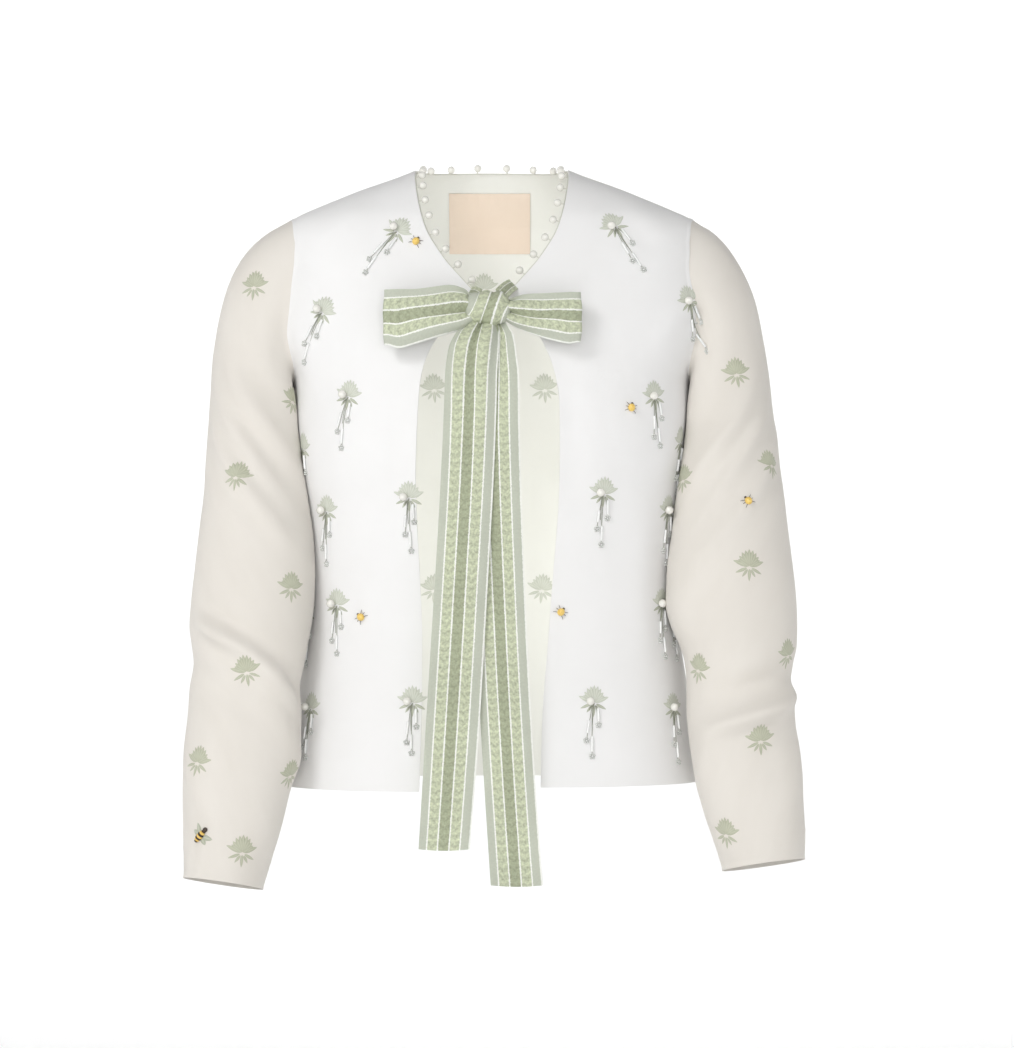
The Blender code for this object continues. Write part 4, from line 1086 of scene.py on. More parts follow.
def knot_mesh():
    """The knot: a band of ribbon turned over itself, in slanting folds that narrow at both ends."""
    grid, uv = [], []
    for ring in range(KNOT_RINGS + 1):
        polar = math.pi * (KNOT_END + 0.92 * ring / KNOT_RINGS)
        row, places = [], []
        for turn in range(KNOT_TURNS + 1):
            angle = 2 * math.pi * turn / KNOT_TURNS
            along = KNOT_HALF.x * math.cos(polar)
            slant = along - KNOT_SLANT * math.sin(angle)
            ridge = 1 - FINE_FOLD * (1 + math.cos(slant / FINE_FOLD_STEP))
            ridge -= BROAD_FOLD * (1 + math.cos(slant / BROAD_FOLD_STEP + 1.2))
            girth = math.sin(polar) ** KNOT_FULLNESS
            y = KNOT_HALF.y * ridge * girth * math.cos(angle)
            z = KNOT_HALF.z * ridge * girth * math.sin(angle)
            row.append(KNOT_CENTRE + Vector((along * 0.97, y, z)))
            places.append((slant * 1.05 - 3, angle * 14))
        grid.append(row[:-1])
        uv.append(places)
    return grid, uv


rows, uv = knot_mesh()
normals = grid_normals(rows, 1, tube=True)
knot = cloth_shell("bow_knot_folds", rows, normals, KNOT_WALL, ribbon, uv=uv, tube=True)
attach(knot, "root")
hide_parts("bow_knot")
loops, tails, roots = {}, {}, {}
for side, word in WORD.items():
    loops[side] = ribbon_strip("ribbon_loop_" + word, loop_rows(side), RIBBON_WIDTH, "bow_loop_" + word)
    tails[side] = ribbon_strip("ribbon_tail_" + word, tail_rows(side), RIBBON_WIDTH, "bow_tail_" + word)
    root = TIE_ROOT[side]
    sewn, tied = Vector((root.sewn_x, 0, root.sewn_z)), Vector((root.knot_x, 0, root.knot_z))
    across = (tied - sewn).normalized().cross(Vector((0, 1, 0)))
    rows = []
    for share in shares(ROOT_ROWS):
        row = []
        for c in shares(ROOT_COLUMNS):
            half = root.sewn_half_width + (root.knot_half_width - root.sewn_half_width) * share
            point = sewn.lerp(tied, share) + across * half * (2 * c - 1)
            cloth = form_point(side, heading_at(abs(point.x), point.z), point.z)
            fold = ROOT_GATHER * math.cos(4 * math.pi * c) * share
            point.y = (cloth.y - 1) * (1 - share) + (KNOT_CENTRE.y + 2) * share - fold
            point.z += ROOT_RISE * math.sin(math.pi * share)
            row.append(point)
        rows.append(row)
    roots[side] = ribbon_strip("ribbon_root_" + word, rows, ROOT_MAP_WIDTH, "tie_root_" + word)

# The label. A bare tab of peach satin, with nothing on it. Its edges are turned under, and it is
# stitched flat inside the back neck, so that its middle puffs up a little.
LABEL_WALL = 0.5
LABEL_LIFT, LABEL_PUFF, PUFF_REACH, LABEL_STITCH = 0.45, 1.5, 7, 0.35
LABEL_MIDDLE, LABEL_WIDTH, LABEL_TOP, LABEL_BOTTOM = -2.5, 78, -14, -70
LABEL_COLUMNS, LABEL_ROWS = 52, 38
LABEL_PEACH = (0.86, 0.74, 0.62)
LABEL_SHADE = (0.82, 0.67, 0.54)


def surface_tree(piece):
    """A search tree of a piece's faces, in millimetres."""
    corners = [vertex.co / MM for vertex in piece.data.vertices]
    return BVHTree.FromPolygons(corners, [tuple(face.vertices) for face in piece.data.polygons])


back_tree = surface_tree(back)
rows, normals = [], []
for row in shares(LABEL_ROWS):
    height = LABEL_BOTTOM + (LABEL_TOP - LABEL_BOTTOM) * row
    line, facing = [], []
    for column in shares(LABEL_COLUMNS):
        start = Vector((LABEL_MIDDLE + LABEL_WIDTH * (column - 0.5), 0, height))
        touch, normal, _, _ = back_tree.ray_cast(start, Vector((0, 1, 0)))
        from_side = min(column, 1 - column) * LABEL_WIDTH
        from_end = min(row, 1 - row) * (LABEL_TOP - LABEL_BOTTOM)
        edge = min(from_side, from_end)
        puff = LABEL_PUFF * (1 - math.exp(-edge / PUFF_REACH))
        puff += 0.25 * math.sin(column * 47) * math.exp(-edge / 4)
        puff -= LABEL_STITCH * near(edge - 2.2, 0.7)
        line.append(touch + normal * (LABEL_LIFT + LABEL_WALL + puff))
        facing.append(normal)
    rows.append(line)
    normals.append(facing)
satin = cloth_material("label satin", LABEL_PEACH, LABEL_SHADE, 0.42, 0.0004, 0.25, sheen=0.3)
label = cloth_shell("label_satin_tab", rows, normals, LABEL_WALL, satin)
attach(label, "root")
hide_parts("label")

# The neck edging. Glossy pearls stand off the neck edge on short wound thread shanks, which a
# fine cord along the edge carries.
PEARL, PEARL_REACH = 7.0, 6.2
CORD_RADIUS, CORD_SIDES = 0.55, 8
SHANK_END, SHANK_RADII = 2.6, [0.75, 0.55]
NeckPearls = namedtuple("NeckPearls", "count from_corner")
NECK_PEARLS = {RIGHT: NeckPearls(10, 15), LEFT: NeckPearls(9, 27)}
BACK_NECK_PEARLS = 6


def build_grain(name, kind, **settings):
    """A grain in a piece's own space: one pattern, used as a mask and as a height."""
    group, start, end = node_group(
        name,
        [("Vector", "NodeSocketVector", (0, 0, 0)), ("Scale", "NodeSocketFloat", 500)],
        [("Grain", "NodeSocketFloat")],
    )
    sources = [(label, start.outputs[label]) for label in ("Vector", "Scale")]
    pattern = add_node(group, kind, sources, **settings)
    group.links.new(pattern.outputs["Fac"], end.inputs["Grain"])
    return group


clouding = build_grain("clouding", "ShaderNodeTexNoise", Detail=2)
wound_ridges = build_grain("wound ridges", "ShaderNodeTexWave", Distortion=1.5)


def grained_material(name, light, dark, grain, scale, strength, distance, **sockets):
    """Two colours mixed by a grain, which roughens the surface too."""
    made, tree, shader = start_material(name, **sockets)
    place = add_node(tree, "ShaderNodeTexCoord")
    source = [("Vector", place.outputs["Object"])]
    pattern = add_node(tree, "ShaderNodeGroup", source, node_tree=grain, Scale=scale).outputs[0]
    colour = mix_colours(tree, pattern, dark, light)
    link_surface(tree, shader, colour, pattern, strength, distance)
    return made


def thread_material(name, light, dark):
    """Wound sewing thread: fine slanting ridges."""
    return grained_material(name, light, dark, wound_ridges, 900, 0.4, 0.0002, Roughness=0.6)


# Nacre is a milky coat with a faint warm and green bloom and a clear gloss.
PEARL_LIGHT, PEARL_DARK = (0.90, 0.875, 0.84), (0.74, 0.735, 0.66)
NACRE = {"Roughness": 0.16, "Coat_Weight": 0.7, "Coat_Roughness": 0.06}
pearl = grained_material("pearl", PEARL_LIGHT, PEARL_DARK, clouding, 210, 0.12, 0.0003, **NACRE)
ivory_thread = thread_material("ivory thread", (0.80, 0.80, 0.74), (0.58, 0.58, 0.50))


class Trim:
    """Collects small round parts, such as pearls and threads, into one mesh."""

    def __init__(self, materials):
        self.materials = list(materials)
        self.points, self.faces, self.kinds, self.uv = [], [], [], []

    def add(self, points, faces, kind, uv=None):
        """Adds faces of one kind: the number of their material among the trim's own."""
        first = len(self.points)
        self.points += points
        self.uv += uv or [(0.0, 0.0)] * len(points)
        self.faces += [tuple(first + i for i in face) for face in faces]
        self.kinds += [kind] * len(faces)

    def tube(self, path, radii, sides, kind):
        """A round tube, closed at both ends, along a path with a radius at each point."""
        points, faces = [], []
        lift = None
        for i, point in enumerate(path):
            along = (path[min(i + 1, len(path) - 1)] - path[max(i - 1, 0)]).normalized()
            lift = along.orthogonal() if lift is None else lift
            lift = (lift - along * lift.dot(along)).normalized()
            other = along.cross(lift)
            for k in range(sides):
                angle = 2 * math.pi * k / sides
                points.append(point + (lift * math.cos(angle) + other * math.sin(angle)) * radii[i])
        for i in range(len(path) - 1):
            for k in range(sides):
                a, b = i * sides + k, i * sides + (k + 1) % sides
                faces.append((a, b, b + sides, a + sides))
        faces.append(tuple(reversed(range(sides))))
        faces.append(tuple(range(len(points) - sides, len(points))))
        self.add(points, faces, kind)

    def ball(self, centre, radius, along, kind, sides=20, rings=12, stretch=1.0):
        """A ball, or an egg when stretched along its axis."""
        path, radii = [], []
        for i in range(rings + 1):
            polar = math.pi * (0.02 + 0.96 * i / rings)
            path.append(centre - along * radius * stretch * math.cos(polar))
            radii.append(radius * math.sin(polar))
        self.tube(path, radii, sides, kind)

    def build(self, name):
        """Makes the piece that rides on the garment."""
        mesh = bpy.data.meshes.new(name)
        mesh.from_pydata([tuple(p * MM) for p in self.points], [], self.faces)
        for made in self.materials:
            mesh.materials.append(made)
        mesh.polygons.foreach_set("material_index", self.kinds)
        layer = mesh.uv_layers.new(name="leaf")
        layer.data.foreach_set("uv", [n for face in self.faces for i in face for n in self.uv[i]])
        mesh.shade_smooth()
        mesh.set_sharp_from_angle(angle=TRIM_SHARP_EDGE)
        piece = bpy.data.objects.new(name, mesh)
        bpy.context.scene.collection.objects.link(piece)
        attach(piece, "root")
        return piece


def form_normal(side, heading, height):
    """The outward direction of the form's surface."""
    turn, rise = 0.5, 0.5
    middle = min(max(heading, turn), 180 - turn)
    middle = 90 if abs(middle - 90) < turn else middle
    round_body = form_point(side, middle + turn, height) - form_point(side, middle - turn, height)
    upward = form_point(side, middle, height + rise) - form_point(side, middle, height - rise)
    return (round_body.cross(upward) * side).normalized()


def neck_run():
    """Points along the neck edge with the way off the cloth at each, from the right front corner
    over the shoulders to the left one, and how far along the first shoulder point is."""
    run = []
    for side in (RIGHT, LEFT):
        climb = [row[0] for row in front_places(side, 2)[FRONT_ROWS + CORNER_ROW : -1]]
        for share in shares(HALF_BACK_COLUMNS - SHOULDER_COLUMNS):
            climb.append((90 + 90 * share, BACK_NECK_RISE * math.sin(share * math.pi / 2) ** 2))
        run.append([(side, *place) for place in climb])
    run = run[0] + run[1][-2::-1]
    points = [form_point(*place) for place in run]
    found = []
    for i, place in enumerate(run):
        before, after = points[max(i - 1, 0)], points[min(i + 1, len(points) - 1)]
        normal = form_normal(*place)
        away = (after - before).normalized().cross(normal).normalized()
        found.append((points[i] - normal * FRONT_WALL / 2 + away * CORD_RADIUS, away))
    return found, YOKE_ROWS - CORNER_ROW


run, shoulder = neck_run()
middles = [point for point, _ in run]
lengths = [0.0]
for a, b in zip(middles, middles[1:]):
    lengths.append(lengths[-1] + (b - a).length)
whole, front_length = lengths[-1], lengths[shoulder]
places = []
for share in shares(NECK_PEARLS[RIGHT].count - 1):
    places.append(NECK_PEARLS[RIGHT].from_corner + (front_length - NECK_PEARLS[RIGHT].from_corner) * share)
for k in range(1, BACK_NECK_PEARLS + 1):
    places.append(front_length + (whole - 2 * front_length) * k / (BACK_NECK_PEARLS + 1))
for share in shares(NECK_PEARLS[LEFT].count - 1):
    places.append(whole - front_length + (front_length - NECK_PEARLS[LEFT].from_corner) * share)
edging = Trim([pearl, ivory_thread])
edging.tube(middles, [CORD_RADIUS] * len(middles), CORD_SIDES, 1)
for place in places:
    i = max(k for k in range(len(lengths) - 1) if lengths[k] <= place)
    part = (place - lengths[i]) / (lengths[i + 1] - lengths[i])
    foot = middles[i].lerp(middles[i + 1], part)
    away = run[i][1].lerp(run[i + 1][1], part).normalized()
    edging.tube([foot, foot + away * (PEARL_REACH - SHANK_END)], SHANK_RADII, CORD_SIDES, 1)
    edging.ball(foot + away * PEARL_REACH, PEARL / 2, away, 0)
neck_pearls = edging.build("neck_pearls")
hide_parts("neck_edging")

# The leaf motifs. Toothed sage fans in padded stitching, with small leaves under them, repeat in
# half drops over the whole blouse. They lie flat on the sleeves and show on both faces of the back.
FRONT_SAGE = ((0.68, 0.70, 0.62), (0.53, 0.55, 0.46))
SLEEVE_SAGE = ((0.55, 0.56, 0.44), (0.42, 0.43, 0.31))
Leaf = namedtuple("Leaf", "angle start length width layer")
FAN_LEAVES = [
    Leaf(-68, 0.8, 15.4, 4.6, 0),
    Leaf(68, 0.8, 15.0, 4.6, 0),
    Leaf(-43, 0.8, 13.2, 5.0, 0),
    Leaf(43, 0.8, 13.0, 5.0, 0),
    Leaf(-27, 0.8, 14.3, 4.8, 1),
    Leaf(27, 0.8, 14.1, 4.8, 1),
    Leaf(-56, 0.8, 11.7, 4.4, 1),
    Leaf(56, 0.8, 11.5, 4.4, 1),
    Leaf(-13, 0.8, 15.0, 4.6, 2),
    Leaf(13, 0.8, 15.2, 4.6, 2),
    Leaf(0, 0.8, 15.8, 4.2, 3),
]
FOOT_LEAVES = [
    Leaf(-113, 2.0, 12.2, 3.1, 0),
    Leaf(116, 2.0, 11.8, 3.1, 0),
    Leaf(-144, 2.4, 9.1, 2.8, 0),
    Leaf(147, 2.4, 8.6, 2.8, 0),
    Leaf(180, 1.6, 11.5, 2.9, 1),
]
Spot = namedtuple("Spot", "across height tilt")
FROM_FRONT, FROM_BEHIND = Vector((0, 1, 0)), Vector((0, -1, 0))
FACING_REACH, LAY_HEIGHT = 11, 30
LEAF_PAD, LAYER_STEP, LEAF_SINK = 0.5, 0.14, 0.08
THREADS_ALONG_LEAF, VEIN_HALF_WIDTH = 14.0, 0.14


class Ground:
    """A place on a panel where trim is sewn: its points are given flat and laid on the cloth.
    It faces as the cloth does on average within its reach, so that a crease doesn't tip it."""

    def __init__(self, tree, spot, way, inside=False):
        start = Vector((spot.across, 0, spot.height)) - way * (0 if inside else 400)
        self.tree = tree
        self.touch, facing, _, _ = tree.ray_cast(start, way)
        around = []
        for across in (-FACING_REACH, 0, FACING_REACH):
            for along in (-FACING_REACH, 0, FACING_REACH):
                _, normal, _, _ = tree.ray_cast(start + Vector((across, 0, along)), way)
                if normal is not None and normal.dot(facing) > 0.5:
                    around.append(normal)
        self.normal = sum(around, Vector()).normalized()
        up = (Vector((0, 0, 1)) - self.normal * self.normal.z).normalized()
        right = up.cross(self.normal)
        turn = math.radians(spot.tilt)
        self.right = right * math.cos(turn) - up * math.sin(turn)
        self.up = up * math.cos(turn) + right * math.sin(turn)

    def at(self, across, along, lift):
        """A point on the cloth, or lifted off it, at a place given flat."""
        flat = self.touch + self.right * across + self.up * along
        start = flat + self.normal * LAY_HEIGHT
        touch, normal, _, _ = self.tree.ray_cast(start, -self.normal, 2 * LAY_HEIGHT)
        if touch is None:
            touch, normal = flat, self.normal
        return touch + normal * lift


def sew_leaf(trim, ground, leaf, kind, scale=1.0):
    """One pointed leaf, raised along its middle, with its edges drawn into the cloth."""
    rows, columns = 8, 4
    angle = math.radians(leaf.angle)
    points, faces, uv = [], [], []
    for r in range(rows + 1):
        t = r / rows
        half = leaf.width / 2 * math.sin(math.pi * min(t**0.8, 1)) ** 0.75
        for c in range(columns + 1):
            s = 2 * c / columns - 1
            out, aside = (leaf.start + leaf.length * t) * scale, half * s * scale
            across = out * math.sin(angle) + aside * math.cos(angle)
            along = out * math.cos(angle) - aside * math.sin(angle)
            lift = LEAF_PAD * (1 - s * s) * math.sin(math.pi * t) ** 0.5
            lift = lift + LAYER_STEP * leaf.layer - LEAF_SINK
            points.append(ground.at(across, along, lift))
            uv.append((s, t))
    for r in range(rows):
        for c in range(columns):
            a = r * (columns + 1) + c
            faces.append((a, a + 1, a + columns + 2, a + columns + 1))
    trim.add(points, faces, kind, uv)


def sew_fan(trim, ground, kind, foot_kind, scale=1.0):
    """A whole leaf motif: the small leaves at its foot, and the toothed fan over them."""
    for leaf in FOOT_LEAVES:
        sew_leaf(trim, ground, leaf, foot_kind, scale)
    for leaf in FAN_LEAVES:
        sew_leaf(trim, ground, leaf, kind, scale)


def build_satin_stitch():
    """Padded satin stitch: fine slanting threads, as a height, and the way they darken from a
    pale middle vein out to the edges."""
    group, start, end = node_group(
        "satin stitch",
        [("Leaf", "NodeSocketVector", (0, 0, 0)), ("Space", "NodeSocketVector", (0, 0, 0))],
        [("Stitch", "NodeSocketFloat"), ("Darkness", "NodeSocketFloat")],
    )
    parts = add_node(group, "ShaderNodeSeparateXYZ", [(0, start.outputs["Leaf"])])
    from_vein = math_node(group, "ABSOLUTE", parts.outputs["X"])
    threads = math_node(group, "MULTIPLY", parts.outputs["Y"], THREADS_ALONG_LEAF)
    slant = math_node(group, "SUBTRACT", threads, from_vein)
    stitch = math_node(group, "SINE", math_node(group, "MULTIPLY", slant, 2 * math.pi))
    off_vein = math_node(group, "GREATER_THAN", from_vein, VEIN_HALF_WIDTH)
    cloud = add_node(group, "ShaderNodeTexNoise", [("Vector", start.outputs["Space"])], Scale=90, Detail=3)
    dark = math_node(group, "MULTIPLY", from_vein, 0.55)
    dark = math_node(group, "ADD", dark, math_node(group, "MULTIPLY", cloud.outputs["Fac"], 0.6))
    dark = math_node(group, "ADD", dark, math_node(group, "MULTIPLY", stitch, 0.1))
    group.links.new(stitch, end.inputs["Stitch"])
    group.links.new(math_node(group, "MULTIPLY", dark, off_vein), end.inputs["Darkness"])
    return group


satin_stitch = build_satin_stitch()


def leaf_material(name, light, dark):
    """Leaves worked in satin stitch, in two shades of one green."""
    made, tree, shader = start_material(name, Roughness=0.6, Sheen_Weight=0.15)
    leaf = add_node(tree, "ShaderNodeUVMap", uv_map="leaf")
    space = add_node(tree, "ShaderNodeTexCoord")
    sources = [("Leaf", leaf.outputs[0]), ("Space", space.outputs["Object"])]
    stitch = add_node(tree, "ShaderNodeGroup", sources, node_tree=satin_stitch)
    colour = mix_colours(tree, stitch.outputs["Darkness"], light, dark)
    link_surface(tree, shader, colour, stitch.outputs["Stitch"], 0.3, 0.0003)
    return made


front_leaf = leaf_material("front leaf stitching", *FRONT_SAGE)
sleeve_leaf = leaf_material("sleeve leaf stitching", *SLEEVE_SAGE)
foot_leaf = leaf_material("foot leaf stitching", (0.56, 0.58, 0.48), (0.40, 0.42, 0.32))

SLEEVE_SPOTS = {
    RIGHT: [
        Spot(-220, -112, 0),
        Spot(-184, -218, 24),
        Spot(-234, -288, 6),
        Spot(-182, -390, 4),
        Spot(-221, -465, -10),
        Spot(-266, -547, 8),
        Spot(-183, -560, -6),
        Spot(-224, -627, 5),
    ],
    LEFT: [
        Spot(226, -193, -6),
        Spot(258, -277, 4),
        Spot(176, -291, -12),
        Spot(234, -370, 3),
        Spot(188, -464, 10),
        Spot(270, -451, -6),
        Spot(243, -527, -4),
        Spot(212, -612, 2),
    ],
}
SLEEVE_SPOTS_BEHIND = {
    RIGHT: [
        Spot(-212, -150, 6),
        Spot(-244, -240, -5),
        Spot(-200, -330, 4),
        Spot(-240, -420, 0),
        Spot(-206, -512, -6),
        Spot(-252, -590, 5),
    ],
    LEFT: [
        Spot(206, -140, -5),
        Spot(240, -228, 4),
        Spot(202, -322, -2),
        Spot(242, -408, 6),
        Spot(210, -500, 0),
        Spot(256, -580, -5),
    ],
}
BACK_COLUMN_STEP, BACK_DROP = 54, 194
BACK_FIRST, BACK_SPOT_COLUMNS = Spot(-167, -395, 0), 7
LOWEST_SPOT, HIGHEST_SPOT, HIGHEST_SIDE_SPOT, HIGHEST_INSIDE_SPOT = -550, -60, -215, -84
SIDE_SPOTS_FROM = 150

sleeve_trims = {side: Trim([sleeve_leaf]) for side in WORD}
sleeve_trees = {side: surface_tree(piece) for side, piece in sleeves.items()}
for side in WORD:
    for spots, way in ((SLEEVE_SPOTS[side], FROM_FRONT), (SLEEVE_SPOTS_BEHIND[side], FROM_BEHIND)):
        for spot in spots:
            sew_fan(sleeve_trims[side], Ground(sleeve_trees[side], spot, way), 0, 0)

back_trim = Trim([sleeve_leaf, front_leaf])
random.seed(5)
for column in range(BACK_SPOT_COLUMNS):
    across = BACK_FIRST.across + BACK_COLUMN_STEP * column
    for drop in range(-2, 3):
        height = BACK_FIRST.height + BACK_DROP * drop + (0 if column % 2 == 0 else BACK_DROP / 2)
        highest = HIGHEST_SIDE_SPOT if abs(across) > SIDE_SPOTS_FROM else HIGHEST_SPOT
        if not LOWEST_SPOT < height < highest:
            continue
        spot = Spot(across + random.uniform(-3, 3), height, random.uniform(-6, 6))
        sew_fan(back_trim, Ground(back_tree, spot, FROM_BEHIND), 0, 0)
        if height < HIGHEST_INSIDE_SPOT:
            sew_fan(back_trim, Ground(back_tree, spot, FROM_FRONT, inside=True), 1, 1)
back_leaves = back_trim.build("back_leaves")

# The beaded motifs. On the fronts each fan carries a pearl beside its foot, a dark curved stem and
# three strands of thread with glass tubes, which end in small flowers of clear beads.
MOTIF_PEARL = 7.6
PEARL_FROM_FOOT = Vector((-4.2, 0, 1.5))
MOTIF_PEARLS = {
    RIGHT: [
        Spot(89, -60, 34),
        Spot(158, -134, 27),
        Spot(134, -213, 8),
        Spot(79, -306, 0),
        Spot(154, -318, 3),
        Spot(145, -404, 0),
        Spot(76, -492, 0),
        Spot(169, -500, -3),
    ],
    LEFT: [
        Spot(109, -59, -30),
        Spot(179, -126, -20),
        Spot(146, -214, -6),
        Spot(98, -302, 2),
        Spot(160, -318, -3),
        Spot(154, -404, 0),
        Spot(89, -492, 2),
        Spot(165, -500, 3),
    ],
}
SIDE_SPOTS = {
    RIGHT: [Spot(-174, -262, 4), Spot(-169, -414, -4)],
    LEFT: [Spot(174, -256, -4), Spot(169, -410, 4)],
}
FRONT_FAN_SCALE = 0.98
PETALS, PETAL_RING, PETAL_BEAD, HEART_BEAD = 5, 2.0, 1.15, 0.9
STEM = ((0.3, -0.5), (-0.8, -2.6), (-3.2, -4.2), (-4.4, -6.6))
Strand = namedtuple("Strand", "thread tube flower")
STRANDS = [
    Strand(((1.5, -2), (3.6, -9), (4.2, -17)), ((3.7, -4.5), (4.3, -15.5)), (4.4, -18.5)),
    Strand(((-1.5, -3), (-3.2, -14), (-5.2, -28)), ((-3.9, -14), (-5.1, -24)), (-5.4, -30)),
    Strand(((0, -3), (-0.4, -20), (0.3, -40)), ((-0.2, -26), (0.1, -38)), (0.4, -41.5)),
    Strand(((-0.6, -3), (-1.8, -12), (-1.4, -22)), None, None),
]
stem_thread = thread_material("stem thread", (0.40, 0.42, 0.34), (0.20, 0.21, 0.16))


def bead_material(name, light, dark, roughness):
    """Small glass beads, with a cloudy core under a clear coat."""
    gloss = {"Roughness": roughness, "Coat_Weight": 0.5}
    return grained_material(name, light, dark, clouding, 520, 0.2, 0.0002, **gloss)


tube_glass = bead_material("tube glass", (0.94, 0.94, 0.93), (0.80, 0.81, 0.80), 0.12)
clear_bead = bead_material("clear beads", (0.78, 0.79, 0.76), (0.50, 0.52, 0.48), 0.12)
beetle_gold = bead_material("beetle gold", (0.95, 0.72, 0.20), (0.80, 0.48, 0.08), 0.32)
beetle_dark = thread_material("beetle legs", (0.10, 0.07, 0.05), (0.03, 0.02, 0.015))
FRONT_TRIM = [front_leaf, foot_leaf, stem_thread, tube_glass, clear_bead, beetle_gold, beetle_dark]
LEAF, FOOT, STEM_THREAD, TUBE, CLEAR, GOLD, DARK = range(7)


def sew_flower(trim, ground, across, along):
    """Five small beads round a sixth."""
    for petal in range(PETALS):
        angle = math.radians(72 * petal + 18)
        aside, up = PETAL_RING * math.cos(angle), PETAL_RING * math.sin(angle)
        spot = ground.at(across + aside, along + up, 0.8)
        trim.ball(spot, PETAL_BEAD, ground.normal, CLEAR, sides=8, rings=5)
    trim.ball(ground.at(across, along, 1.1), HEART_BEAD, ground.normal, TUBE, sides=8, rings=5)


def sew_strands(trim, ground, seed):
    """The stem and the hanging threads of one motif, no two alike."""
    wobble = random.Random(seed)
    stem = [ground.at(x, z, 0.45) for x, z in STEM]
    trim.tube(stem, [0.55, 0.6, 0.55, 0.35], 6, STEM_THREAD)
    for strand in STRANDS:
        shift, stretch = wobble.uniform(-0.9, 0.9), wobble.uniform(1.06, 1.2)

        def lay(place, lift):
            sway = shift * min(-place[1] / 20, 1.5)
            return ground.at(place[0] + sway, place[1] * stretch, lift)

        thread = rounded_run([lay(p, 0.35) for p in strand.thread])
        trim.tube(thread, [0.3] * len(thread), 5, STEM_THREAD)
        if strand.tube:
            trim.tube([lay(p, 1.25) for p in strand.tube], [1.15, 1.15], 10, TUBE)
            end = strand.flower
            sew_flower(trim, ground, end[0] + shift * min(-end[1] / 20, 1.5), end[1] * stretch)


front_trims = {side: Trim(FRONT_TRIM) for side in WORD}
front_trees = {side: surface_tree(piece) for side, piece in fronts.items()}
for side, word in WORD.items():
    pearls = Trim([pearl])
    spots = []
    for place in MOTIF_PEARLS[side]:
        spot = Spot(side * place.across, place.height, place.tilt)
        ground = Ground(front_trees[side], spot, FROM_FRONT)
        centre = ground.touch + ground.normal * (MOTIF_PEARL / 2 + 0.3)
        pearls.ball(centre, MOTIF_PEARL / 2, ground.normal, 0, sides=24, rings=14)
        foot = ground.touch - ground.right * PEARL_FROM_FOOT.x - ground.up * PEARL_FROM_FOOT.z
        spots.append(Spot(foot.x, foot.z, place.tilt))
    for number, spot in enumerate(spots + SIDE_SPOTS[side]):
        ground = Ground(front_trees[side], spot, FROM_FRONT)
        sew_fan(front_trims[side], ground, LEAF, FOOT, FRONT_FAN_SCALE)
        sew_strands(front_trims[side], ground, number + 20 * side)
    piece = pearls.build("motif_pearls_" + word)
    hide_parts(*[f"motif_pearl_{word}_{n}" for n in range(1, 9)])

# The insects. Small gold beetles with dark legs sit between the motifs, and a striped bee is
# stitched by the right cuff.
BEETLE_SPOTS = {
    RIGHT: [Spot(-69, -73, 30), Spot(-169, -335, -20), Spot(-119, -416, -50)],
    LEFT: [Spot(127, -225, 15), Spot(63, -411, 40)],
}
SLEEVE_BEETLE = Spot(234, -310, -30)
BEE_SPOT = Spot(-262, -612, 42)
BEETLE_BODY, BEETLE_HEAD = 3.4, 1.2
LEG_JOINTS, LEG_RADII = ((2.2, 0.6, 0.9), (4.2, 0.9, 1.2), (5.6, 1.2, 0.3)), [0.28, 0.25, 0.18]
BEE_BANDS, BEE_BAND_STEP, BEE_GIRTH = 7, 2.0, 3.4
BEE_WINGS = ((62, 11), (102, 8.5), (-62, 11), (-102, 8.5))


def sew_beetle(trim, ground, gold, dark):
    """A round gold body with a notched back, a small head and six legs."""
    body, head = ground.at(0, 0, 1.2), ground.at(0, 3.8, 1.0)
    trim.ball(body, BEETLE_BODY, ground.up, gold, sides=14, rings=9, stretch=1.08)
    trim.ball(head, BEETLE_HEAD, ground.up, dark, sides=8, rings=5)
    notch = [ground.at(0, along, 4.5 - abs(along) * 0.4) for along in (-2.4, 0, 2.4)]
    trim.tube(notch, [0.16] * 3, 5, dark)
    for way in (-1, 1):
        for lean in (-3.4, 0.1, 3.2):
            leg = [ground.at(way * out, lean * spread, lift) for out, spread, lift in LEG_JOINTS]
            trim.tube(leg, LEG_RADII, 5, dark)


def sew_bee(trim, ground, gold, dark, wing):
    """A long banded body with two pairs of stitched wings."""
    for band in range(BEE_BANDS):
        centre = ground.at(0, -6.6 + BEE_BAND_STEP * band, 0.9)
        radius = BEE_GIRTH * math.sin(math.pi * (band + 0.9) / 8.2) ** 0.6
        kind = gold if band % 2 else dark
        trim.ball(centre, radius, ground.up, kind, sides=12, rings=7, stretch=0.5)
    trim.ball(ground.at(0, 7.6, 0.9), 2.3, ground.up, dark, sides=10, rings=6)
    for angle, length in BEE_WINGS:
        sew_leaf(trim, ground, Leaf(angle, 1.5, length, 5.0, 1), wing)


front_motifs, sleeve_leaves = {}, {}
for side, word in WORD.items():
    for spot in BEETLE_SPOTS[side]:
        sew_beetle(front_trims[side], Ground(front_trees[side], spot, FROM_FRONT), GOLD, DARK)
    piece = front_trims[side].build("front_motifs_" + word)
    front_motifs[side] = piece
    sleeve_trims[side].materials += [beetle_gold, beetle_dark, foot_leaf]
    if side == LEFT:
        sew_beetle(sleeve_trims[side], Ground(sleeve_trees[side], SLEEVE_BEETLE, FROM_FRONT), 1, 2)
    else:
        sew_bee(sleeve_trims[side], Ground(sleeve_trees[side], BEE_SPOT, FROM_FRONT), 1, 2, 3)
    piece = sleeve_trims[side].build("sleeve_leaves_" + word)
    sleeve_leaves[side] = piece
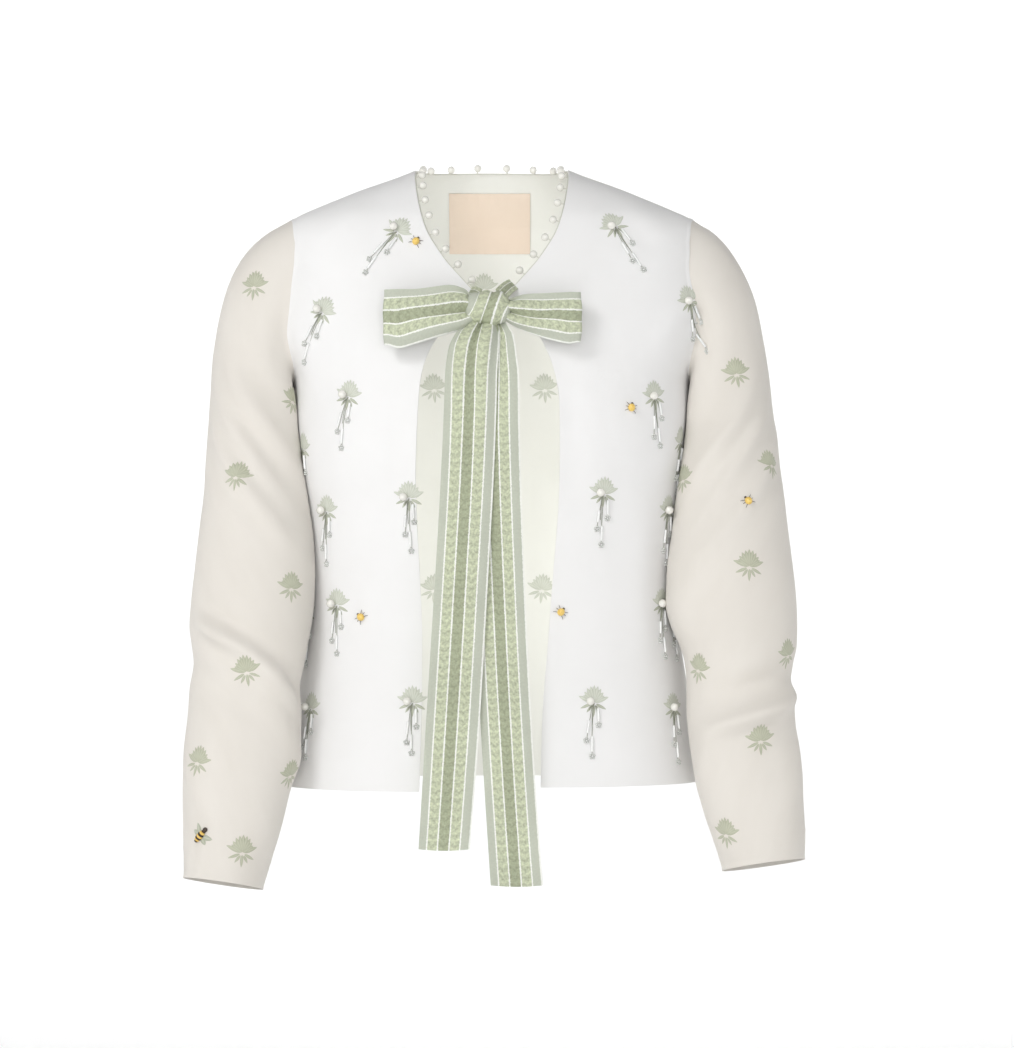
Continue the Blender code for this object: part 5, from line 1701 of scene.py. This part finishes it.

# The cut: a record of the size of the flat rectangle that a piece of cloth is cut from, and of its
# own flat area; no piece is given one here. Sizes are along the worn cloth, without seam allowances;
# sleeves are counted all round.
Cut = namedtuple("Cut", "width length area")


# The camera, at chest height straight in front, the soft studio light and the pale sweep that
# the blouse is shown before. None of them belongs to the garment.
CAMERA_PLACE = Vector((0.0141, -3.2, -0.331))
SCALE_MM_PER_PIXEL = 0.94
FRAME_WIDTH = 1014
SENSOR = 36.0

scene = bpy.context.scene
scene.view_settings.view_transform = "Standard"
camera_data = bpy.data.cameras.new("camera")
camera_data.sensor_fit = "HORIZONTAL"
camera_data.sensor_width = SENSOR
camera_data.lens = SENSOR * (-CAMERA_PLACE.y / MM / SCALE_MM_PER_PIXEL) / FRAME_WIDTH
camera_data.clip_end = 50
camera = bpy.data.objects.new("camera", camera_data)
camera.location = CAMERA_PLACE
camera.rotation_euler = (math.pi / 2, 0, 0)
scene.collection.objects.link(camera)
scene.camera = camera

Softbox = namedtuple("Softbox", "place aim width height power")
SOFTBOXES = {
    "key": Softbox((-1.6, -2.3, 1.5), (0, 0, -0.3), 1.0, 1.0, 32),
    "front": Softbox((0.15, -3.7, -0.05), (0, 0, -0.35), 1.5, 1.5, 25),
    "rear": Softbox((0.3, 3.9, 0.3), (0, 0, -0.35), 1.5, 1.5, 17),
    "inside right": Softbox((-0.1, -0.073, -0.32), (-0.09, 0.1, -0.32), 0.07, 0.46, 0.19),
    "inside left": Softbox((0.1, -0.073, -0.32), (0.09, 0.1, -0.32), 0.07, 0.46, 0.19),
    "sweep behind": Softbox((0, 2.4, 2.4), (0, 5.2, -0.3), 3.0, 0.8, 72),
    "sweep before": Softbox((0, -2.4, 2.4), (0, -5.2, -0.3), 3.0, 0.8, 37),
    "sweep right": Softbox((-2.4, 0, 2.4), (-5.2, 0, -0.3), 3.0, 0.8, 37),
    "sweep left": Softbox((2.4, 0, 2.4), (5.2, 0, -0.3), 3.0, 0.8, 37),
}
for name, box in SOFTBOXES.items():
    data = bpy.data.lights.new(name, "AREA")
    data.shape = "RECTANGLE"
    data.size, data.size_y, data.energy = box.width, box.height, box.power
    lamp = bpy.data.objects.new(name, data)
    lamp.location = box.place
    aim = Vector(box.aim) - Vector(box.place)
    lamp.rotation_euler = aim.to_track_quat("-Z", "Y").to_euler()
    lamp.visible_camera = False
    scene.collection.objects.link(lamp)

WORLD_LIGHT = 0.24
world = bpy.data.worlds.new("studio")
world.use_nodes = True
background = world.node_tree.nodes["Background"]
background.inputs["Color"].default_value = (1, 1, 1, 1)
background.inputs["Strength"].default_value = WORLD_LIGHT
scene.world = world

# The sweep goes all round, as a wide shallow bowl, so that every side is seen before it.
SWEEP_FLOOR, SWEEP_RADIUS, SWEEP_TOP = -1.1, 5.2, 2.6
SWEEP_DISC, SWEEP_BEND, SWEEP_TURNS, BEND_STEPS = 1.5, 1.2, 72, 12
profile = [(SWEEP_DISC, SWEEP_FLOOR)]
for step in range(BEND_STEPS + 1):
    angle = math.pi / 2 * step / BEND_STEPS
    out = SWEEP_RADIUS - SWEEP_BEND * (1 - math.sin(angle))
    profile.append((out, SWEEP_FLOOR + SWEEP_BEND * (1 - math.cos(angle))))
profile.append((SWEEP_RADIUS, SWEEP_TOP))
points = []
for out, height in profile:
    for turn in range(SWEEP_TURNS):
        angle = 2 * math.pi * turn / SWEEP_TURNS
        points.append((out * math.cos(angle), out * math.sin(angle), height))
faces = [tuple(range(SWEEP_TURNS))]
for ring in range(len(profile) - 1):
    for turn in range(SWEEP_TURNS):
        a, b = ring * SWEEP_TURNS + turn, ring * SWEEP_TURNS + (turn + 1) % SWEEP_TURNS
        faces.append((b, a, a + SWEEP_TURNS, b + SWEEP_TURNS))
sweep_mesh = bpy.data.meshes.new("sweep")
sweep_mesh.from_pydata(points, [], faces)
sweep_mesh.shade_smooth()
paper, _, _ = start_material("sweep paper", Base_Color=(0.96, 0.96, 0.96, 1), Roughness=0.9)
sweep_mesh.materials.append(paper)
sweep = bpy.data.objects.new("sweep", sweep_mesh)
scene.collection.objects.link(sweep)
